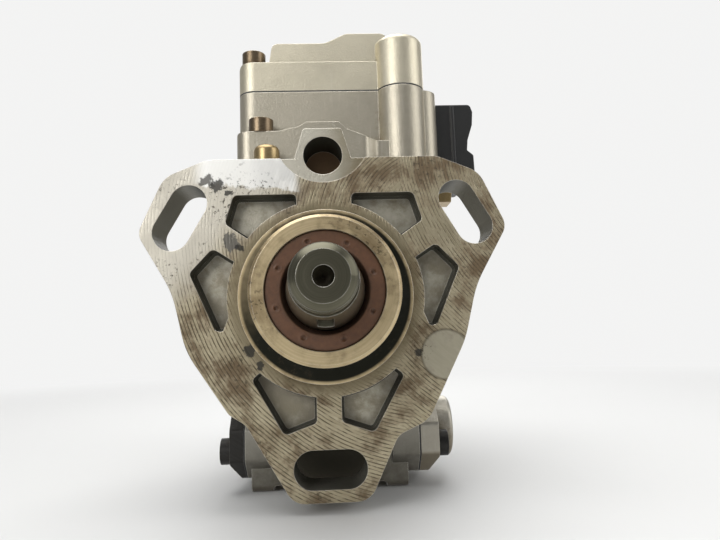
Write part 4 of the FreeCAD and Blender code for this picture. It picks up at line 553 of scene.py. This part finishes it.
# the timing cover gets a stronger painted shade on faces that point down
timingLook = dict(castLook, dark=(0.32, 0.30, 0.25), light=(0.52, 0.49, 0.42), grimeAndShade=0.5, under=0.75)
steelLook = {"dark": (0.070, 0.067, 0.046), "light": (0.165, 0.155, 0.112), "roughness": 0.32,
             "edge": 0.0003, "grimeAndShade": 0.5, "grimeScale": 110.0, "dirtAndShadeColour": (0.06, 0.048, 0.034),
             "edgeColour": (0.62, 0.60, 0.56), "edgeStrength": 0.7, "breakup": 900.0,
             "cornerReach": 0.003, "dirtAndShadeStrength": 0.7, "toneRough": 0.12, "dirtRough": 0.3,
             "bump": 0.12, "bumpDepth": 0.0001}
zincLook = dict(steelLook, dark=(0.30, 0.215, 0.10), light=(0.50, 0.385, 0.21),
                dirtAndShadeColour=(0.12, 0.075, 0.04), edgeColour=(0.74, 0.64, 0.46), roughness=0.34)
brownScrewLook = dict(steelLook, dark=(0.12, 0.088, 0.055), light=(0.25, 0.19, 0.125), grimeAndShade=0.6,
                      dirtAndShadeColour=(0.06, 0.038, 0.022), edgeColour=(0.56, 0.47, 0.34))
blackSteelLook = dict(steelLook, dark=(0.022, 0.022, 0.021), light=(0.060, 0.057, 0.053), roughness=0.45,
                      edgeColour=(0.24, 0.23, 0.21), dirtAndShadeColour=(0.05, 0.042, 0.03))
brightLook = dict(steelLook, dark=(0.40, 0.40, 0.39), light=(0.58, 0.57, 0.55), grimeAndShade=0.15,
                  roughness=0.24)
springLook = dict(steelLook, dark=(0.24, 0.24, 0.25), light=(0.40, 0.40, 0.40), roughness=0.28)
bronzeLook = dict(steelLook, dark=(0.40, 0.24, 0.10), light=(0.60, 0.40, 0.20), roughness=0.36)
copperLook = dict(steelLook, dark=(0.40, 0.15, 0.06), light=(0.62, 0.28, 0.13), roughness=0.30)
blackPlasticLook = {"dark": (0.006, 0.006, 0.006), "light": (0.016, 0.016, 0.015), "roughness": 0.42,
                    "edge": 0.0006, "grimeAndShade": 0.3, "skin": 1400.0, "dirtAndShadeColour": (0.09, 0.085, 0.07),
                    "edgeColour": (0.16, 0.16, 0.16), "edgeStrength": 0.3, "breakup": 900.0,
                    "grimeScale": 120.0, "cornerReach": 0.004, "dirtAndShadeStrength": 0.6, "toneRough": 0.1,
                    "dirtRough": 0.2, "bump": 0.15, "bumpDepth": 0.0001}
blackRubberLook = dict(blackPlasticLook, roughness=0.65)
sealLook = dict(blackPlasticLook, dark=(0.072, 0.031, 0.013), light=(0.155, 0.066, 0.028), roughness=0.46,
                edge=0.0003, grimeAndShade=0.6, skin=900.0, dirtAndShadeColour=(0.028, 0.018, 0.011),
                edgeColour=(0.22, 0.11, 0.06))

finishes = {
    "machined_aluminium": shellMaterial(flangeLook),
    "cast_aluminium": castMaterial("castAluminium", castLook),
    "coverCasting": castMaterial("coverCasting", coverLook),
    "timingCasting": castMaterial("timingCasting", timingLook),
    "black_steel": turnedMaterial("blackSteel", blackSteelLook),
    "steel": turnedMaterial("groundSteel", steelLook),
    "hard_steel": turnedMaterial("hardSteel", brightLook),
    "spring_steel": turnedMaterial("springSteel", springLook),
    "bronze": turnedMaterial("bronze", bronzeLook),
    "zinc_steel": turnedMaterial("zincSteel", zincLook),
    "brownScrew": turnedMaterial("brownScrew", brownScrewLook),
    "seal_rubber": mouldedMaterial("sealRubber", sealLook),
    "black_rubber": mouldedMaterial("blackRubber", blackRubberLook),
    "black_plastic": mouldedMaterial("blackPlastic", blackPlasticLook),
    "copper_coil": turnedMaterial("copperWire", copperLook),
    "iron_core": turnedMaterial("ironCore", dict(steelLook, roughness=0.5)),
    "contact_brass": turnedMaterial("contactBrass", dict(bronzeLook, light=(0.80, 0.66, 0.36))),
}
slotOf = {entry["node"]: entry["material_slot"] for entry in frame["record"]["subparts"]}
special = {"actuator_cover": "coverCasting", "timing_cover_right": "timingCasting",
           "actuator_housing_screws": "brownScrew"}
for name, item in nodes.items():
    material = finishes[special.get(name, slotOf[name])]
    for place in item.material_slots:
        place.material = material

print("shaft thread and seal")


def surfaceMesh(name, grid, closeAcross=True, closeAlong=False, caps=False):
    # a grid of points (along, across, xyz) becomes quads, joined round where the sheet is closed;
    # caps fill its two ends
    along, across = grid.shape[:2]
    index = np.arange(along * across).reshape(along, across)
    ends = [index[0, ::-1].tolist(), index[-1].tolist()] if caps else []
    if closeAcross:
        index = np.concatenate([index, index[:, :1]], axis=1)
    if closeAlong:
        index = np.concatenate([index, index[:1]], axis=0)
    corners = [index[:-1, :-1], index[1:, :-1], index[1:, 1:], index[:-1, 1:]]
    quads = np.stack(corners, axis=-1).reshape(-1, 4)
    mesh = bpy.data.meshes.new(name)
    mesh.from_pydata(grid.reshape(-1, 3).tolist(), [], quads.tolist() + ends)
    mesh.polygons.foreach_set("use_smooth", np.ones(len(mesh.polygons), dtype=bool))
    item = bpy.data.objects.new(name, mesh)
    bpy.context.scene.collection.objects.link(item)
    return item


def dress(item, finish, body):
    item.data.materials.clear()
    item.data.materials.append(finishes[finish])
    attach(item, body)
    return item


threadSizes = {"start": -0.0553, "end": -0.0472, "pitch": 0.0015, "core": 0.00698, "ridge": 0.00034,
               "width": 0.9,  # of a pitch
               "runOut": 1.5,  # radians over which each end fades
               "turnSteps": 64, "acrossSteps": 5}


def threadRidge(sizes):
    # a low rounded ridge on a helix: radius = core + ridge * sin(pi * v), and y advances by one pitch
    # for each turn
    turns = (sizes["end"] - sizes["start"]) / sizes["pitch"] - 1.0
    angle = np.linspace(0.0, 2 * math.pi * turns, int(turns * sizes["turnSteps"]) + 1)
    v = np.linspace(0.0, 1.0, sizes["acrossSteps"])
    a, b = np.meshgrid(angle, v, indexing="ij")
    taper = np.clip(np.minimum(a, angle[-1] - a) / sizes["runOut"], 0.0, 1.0)
    radius = sizes["core"] + sizes["ridge"] * np.sin(math.pi * b) * taper
    y = sizes["start"] + sizes["pitch"] * (a / (2 * math.pi) + sizes["width"] * b)
    grid = np.stack([radius * np.cos(a), y, radius * np.sin(a)], axis=-1)
    return surfaceMesh("shaft_thread_ridge", grid[:, ::-1], closeAcross=False)


dress(threadRidge(threadSizes), "steel", "drive_shaft_group")

centreSizes = {"mouth": 0.00215, "front": -0.05695, "rim": 0.0003, "angle": 60.0, "steps": 48,
               "rings": 10, "narrowing": 0.96}  # share of the mouth that is gone at the bottom


def centreHole(sizes):
    # a drilled centre: a countersink whose radius shrinks with depth by the tangent of half its angle
    v = np.linspace(0.0, 1.0, sizes["rings"])
    radius = sizes["mouth"] * (1.0 - sizes["narrowing"] * v)
    depth = sizes["rim"] + (sizes["mouth"] - radius) / math.tan(math.radians(sizes["angle"] / 2))
    turn = np.linspace(0.0, 2 * math.pi, sizes["steps"], endpoint=False)
    r, a = np.meshgrid(radius, turn, indexing="ij")
    y = np.repeat((sizes["front"] + depth)[:, None], len(turn), axis=1)
    grid = np.stack([r * np.cos(a), y, r * np.sin(a)], axis=-1)
    return surfaceMesh("shaft_centre_hole", grid[:, ::-1])


dress(centreHole(centreSizes), "steel", "drive_shaft_group")

sealSizes = {"dimples": 8, "firstDimple": 19.0, "dimpleCircle": 0.0131, "dimpleRadius": 0.0007,
             "dimpleDepth": 0.0005, "rim": 0.00012, "lip": 0.01012, "steps": 288}


def sealFace(sizes):
    # profile points (radius, y) turned round the shaft; on one circle round dimples are pressed in,
    # each with a raised rim: y = front + depth * (1 - reach^2) inside, and the face lies one rim
    # height behind the rims
    low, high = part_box("shaft_seal")
    rim = high[0]
    front = low[1]
    rear = high[1]
    profile = np.array([(rim, rear), (rim, front + 0.0006), (rim - 0.0002, front + 0.00015),
                        (rim - 0.0006, front)]
                       + [(r, front) for r in np.linspace(rim - 0.001, 0.0117, 34)]
                       + [(0.0114, front + 0.0001), (0.0112, front + 0.0005), (0.0110, front + 0.0016),
                          (0.0106, front + 0.0030), (sizes["lip"], front + 0.0036),
                          (0.0107, front + 0.0046), (0.0114, rear - 0.0012),
                          (0.0134, rear - 0.0012), (0.0136, rear)])
    angle = np.linspace(0.0, 2 * math.pi, sizes["steps"], endpoint=False)
    radius, turn = np.meshgrid(profile[:, 0], angle, indexing="ij")
    y = np.repeat(profile[:, 1:2], len(angle), axis=1)
    step = 2 * math.pi / sizes["dimples"]
    first = math.radians(sizes["firstDimple"])
    nearest = np.round((turn - first) / step) * step + first
    reach = np.hypot(radius - sizes["dimpleCircle"], (turn - nearest) * radius) / sizes["dimpleRadius"]
    onFace = (y < front + 1e-6)
    hollow = sizes["dimpleDepth"] * np.clip(1.0 - reach ** 2, 0.0, 1.0)
    rise = sizes["rim"] * (np.clip(2.0 * np.abs(reach - 1.2), 0.0, 1.0) - 1.0)
    y = y + onFace * (hollow + rise + sizes["rim"])
    grid = np.stack([radius * np.cos(turn), y, radius * np.sin(turn)], axis=-1)
    return surfaceMesh("shaft_seal_ring", grid[:, ::-1], closeAlong=True)


seal = dress(sealFace(sealSizes), "seal_rubber", "housing")
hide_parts("shaft_seal")

print("springs")

springSets = {
    "timing_spring": {"axis": 0, "wire": 0.0016, "turns": 6, "travel": 0.009,
                      "joints": ("timing_piston_slide",)},
    "pressure_valve_spring": {"axis": 2, "wire": 0.0007, "turns": 4, "travel": 0.0025,
                              "joints": ("pressure_piston_lift",)},
    "shutoff_spring": {"axis": 2, "wire": 0.0008, "turns": 5, "travel": 0.0015,
                       "joints": ("shutoff_plunger_lift",)},
    "delivery_valve_springs": {"axis": 1, "wire": 0.0007, "turns": 3, "travel": 0.0015,
                               "spacing": 0.01343503,  # from the middle to an outlet, along x and z
                               "joints": ("delivery_valve_1_lift", "delivery_valve_2_lift",
                                          "delivery_valve_3_lift", "delivery_valve_4_lift")},
}
outletSides = ((1, 1), (-1, 1), (-1, -1), (1, -1))  # x and z of outlets 1 to 4
coilLook = {"sides": 10, "stepsPerTurn": 28, "endClose": 0.45}


def springCoil(name, axis, centre, outer, span, sizes):
    # round wire on a helix: height = span * (t - k * sin(2 pi t) / (2 pi)), so that the end turns
    # lie closer together
    half = sizes["wire"] / 2
    t = np.linspace(0.0, 1.0, sizes["turns"] * coilLook["stepsPerTurn"] + 1)
    eased = t - coilLook["endClose"] * np.sin(2 * math.pi * t) / (2 * math.pi)
    height = span[0] + half + (span[1] - span[0] - 2 * half) * eased
    wireTurn = np.linspace(0.0, 2 * math.pi, coilLook["sides"], endpoint=False)
    turn, side = np.meshgrid(2 * math.pi * sizes["turns"] * t, wireTurn, indexing="ij")
    reach = outer - half + half * np.cos(side)
    grid = np.empty((*turn.shape, 3))
    first, second = (axis + 1) % 3, (axis + 2) % 3
    grid[..., first] = centre[first] + reach * np.cos(turn)
    grid[..., second] = centre[second] + reach * np.sin(turn)
    grid[..., axis] = height[:, None] + half * np.sin(side)
    return surfaceMesh(name, grid, caps=True)


for node, sizes in springSets.items():
    low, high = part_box(node)
    axis = sizes["axis"]
    crosswise = {0: 2, 1: 0, 2: 1}[axis]
    spacing = sizes.get("spacing", 0.0)
    outer = (high[crosswise] - low[crosswise]) / 2 - spacing
    for number, joint in enumerate(sizes["joints"]):
        centre = [(low[i] + high[i]) / 2 for i in range(3)]
        name = node
        if spacing:
            centre[0], centre[2] = (side * spacing for side in outletSides[number])
            name = f"{node}_{number + 1}"
        coil = springCoil(f"{name}_coil", axis, centre, outer, (low[axis], high[axis]), sizes)
        dress(coil, "spring_steel", "housing")
        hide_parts(node)
        fixed = list(centre)
        fixed[axis] = high[axis]
        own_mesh(coil)

print("stage, light and camera")

stageLook = {"floorHeight": -0.0616, "colour": (0.66, 0.66, 0.65), "glow": (0.90, 0.90, 0.895, 1.0),
             "nearReach": 0.22, "farReach": 0.75, "reach": 3.0, "back": 0.9, "bend": 0.35}


def backdropSurface(look):
    # floor and wall as one sheet: level, then a quarter circle up, then upright
    flat = np.linspace(-look["reach"], look["back"], 12)
    bend = np.linspace(0.0, math.pi / 2, 24)[1:]
    ys = np.concatenate([flat, look["back"] + look["bend"] * np.sin(bend), [look["back"] + look["bend"]]])
    zs = np.concatenate([np.zeros(len(flat)), look["bend"] * (1 - np.cos(bend)), [look["reach"]]])
    xs = np.linspace(-look["reach"], look["reach"], 16)
    x, y = np.meshgrid(xs, ys, indexing="ij")
    z = np.repeat(zs[None, :], len(xs), axis=0) + look["floorHeight"]
    return surfaceMesh("studio_floor", np.stack([x, y, z], axis=-1), closeAcross=False)


def backdropMaterial(look):
    # matt paper near the part, so it keeps the shadow; farther out the camera sees it evenly white
    material, tree, shader, where = startMaterial("studioPaper", 0.0, 0.7)
    tone = noise(tree, where, 6.0, 2.0)
    base = blendColour(tree, tone, tuple(c * 0.985 for c in look["colour"]), look["colour"])
    finishMaterial(tree, shader, base)
    glow = tree.nodes.new("ShaderNodeEmission")
    glow.inputs["Color"].default_value = look["glow"]
    axes = placeNode(tree, "ShaderNodeSeparateXYZ", None, Vector=where).outputs
    far = ramp(tree, apart(tree, axes["X"], axes["Y"], (0.0, 0.06)), look["nearReach"], look["farReach"])
    rays = placeNode(tree, "ShaderNodeLightPath").outputs
    seen = calc(tree, "MAXIMUM", calc(tree, "MULTIPLY", rays["Is Camera Ray"], far),
                calc(tree, "MULTIPLY", rays["Is Glossy Ray"], 0.3))
    mix = tree.nodes.new("ShaderNodeMixShader")
    tree.links.new(seen, mix.inputs[0])
    tree.links.new(shader.outputs[0], mix.inputs[1])
    tree.links.new(glow.outputs[0], mix.inputs[2])
    tree.links.new(mix.outputs[0], tree.nodes["Material Output"].inputs["Surface"])
    return material


floor = backdropSurface(stageLook)
floor.data.materials.append(backdropMaterial(stageLook))


def softBox(name, place, target, size, power):
    light = bpy.data.lights.new(name, "AREA")
    light.shape = "RECTANGLE"
    light.size, light.size_y = size
    light.energy = power
    item = bpy.data.objects.new(name, light)
    bpy.context.scene.collection.objects.link(item)
    item.location = place
    item.rotation_euler = (Vector(target) - Vector(place)).to_track_quat("-Z", "Y").to_euler()
    return item


lights = (("overheadBox", (-0.10, -0.05, 0.75), (0.0, 0.05, 0.0), (0.9, 0.7), 6.4),
          ("frontBox", (-0.55, -0.70, 0.35), (0.0, 0.0, 0.0), (0.5, 0.4), 3.4),
          ("rightBox", (0.75, -0.20, 0.35), (0.0, 0.03, 0.0), (0.5, 0.6), 2.0),
          ("rearBox", (0.15, 0.75, 0.50), (0.0, 0.08, 0.0), (0.7, 0.5), 3.6))
for name, place, target, size, power in lights:
    softBox(name, place, target, size, power)

skyLook = {"colour": (0.92, 0.93, 0.95, 1.0), "strength": 0.32, "seenColour": (0.90, 0.90, 0.895, 1.0)}


def studioSky(look):
    # a dim sky for the light, and plain white where the camera sees past the paper
    world = bpy.data.worlds.new("studio")
    world.use_nodes = True
    bpy.context.scene.world = world
    tree = world.node_tree
    sky = tree.nodes["Background"]
    sky.inputs["Color"].default_value = look["colour"]
    sky.inputs["Strength"].default_value = look["strength"]
    white = tree.nodes.new("ShaderNodeBackground")
    white.inputs["Color"].default_value = look["seenColour"]
    mix = tree.nodes.new("ShaderNodeMixShader")
    tree.links.new(placeNode(tree, "ShaderNodeLightPath").outputs["Is Camera Ray"], mix.inputs[0])
    tree.links.new(sky.outputs[0], mix.inputs[1])
    tree.links.new(white.outputs[0], mix.inputs[2])
    tree.links.new(mix.outputs[0], tree.nodes["World Output"].inputs["Surface"])


studioSky(skyLook)

cameraLook = {"place": (0.00156, -0.17306, -0.01272), "pitch": 6.706, "yaw": 2.828, "roll": -1.917,
              "focalPixels": 590.885, "frameWidth": 720.0, "sensor": 36.0}


def photoCamera(look):
    # forward from pitch and yaw, then the frame is rolled about it
    pitch, yaw, roll = (math.radians(look[k]) for k in ("pitch", "yaw", "roll"))
    ahead = Vector((math.sin(yaw) * math.cos(pitch), math.cos(yaw) * math.cos(pitch), math.sin(pitch)))
    right = Vector((math.cos(yaw), -math.sin(yaw), 0.0))
    up = right.cross(ahead)
    rolledRight = right * math.cos(roll) + up * math.sin(roll)
    rolledUp = up * math.cos(roll) - right * math.sin(roll)
    data = bpy.data.cameras.new("photoCamera")
    data.sensor_width = look["sensor"]
    data.lens = look["focalPixels"] * look["sensor"] / look["frameWidth"]
    data.clip_start = 0.005
    item = bpy.data.objects.new("photoCamera", data)
    bpy.context.scene.collection.objects.link(item)
    turn = Matrix((rolledRight, rolledUp, -ahead)).transposed()
    item.matrix_world = Matrix.Translation(Vector(look["place"])) @ turn.to_4x4()
    bpy.context.scene.camera = item


photoCamera(cameraLook)
bpy.context.scene.view_settings.view_transform = "Standard"
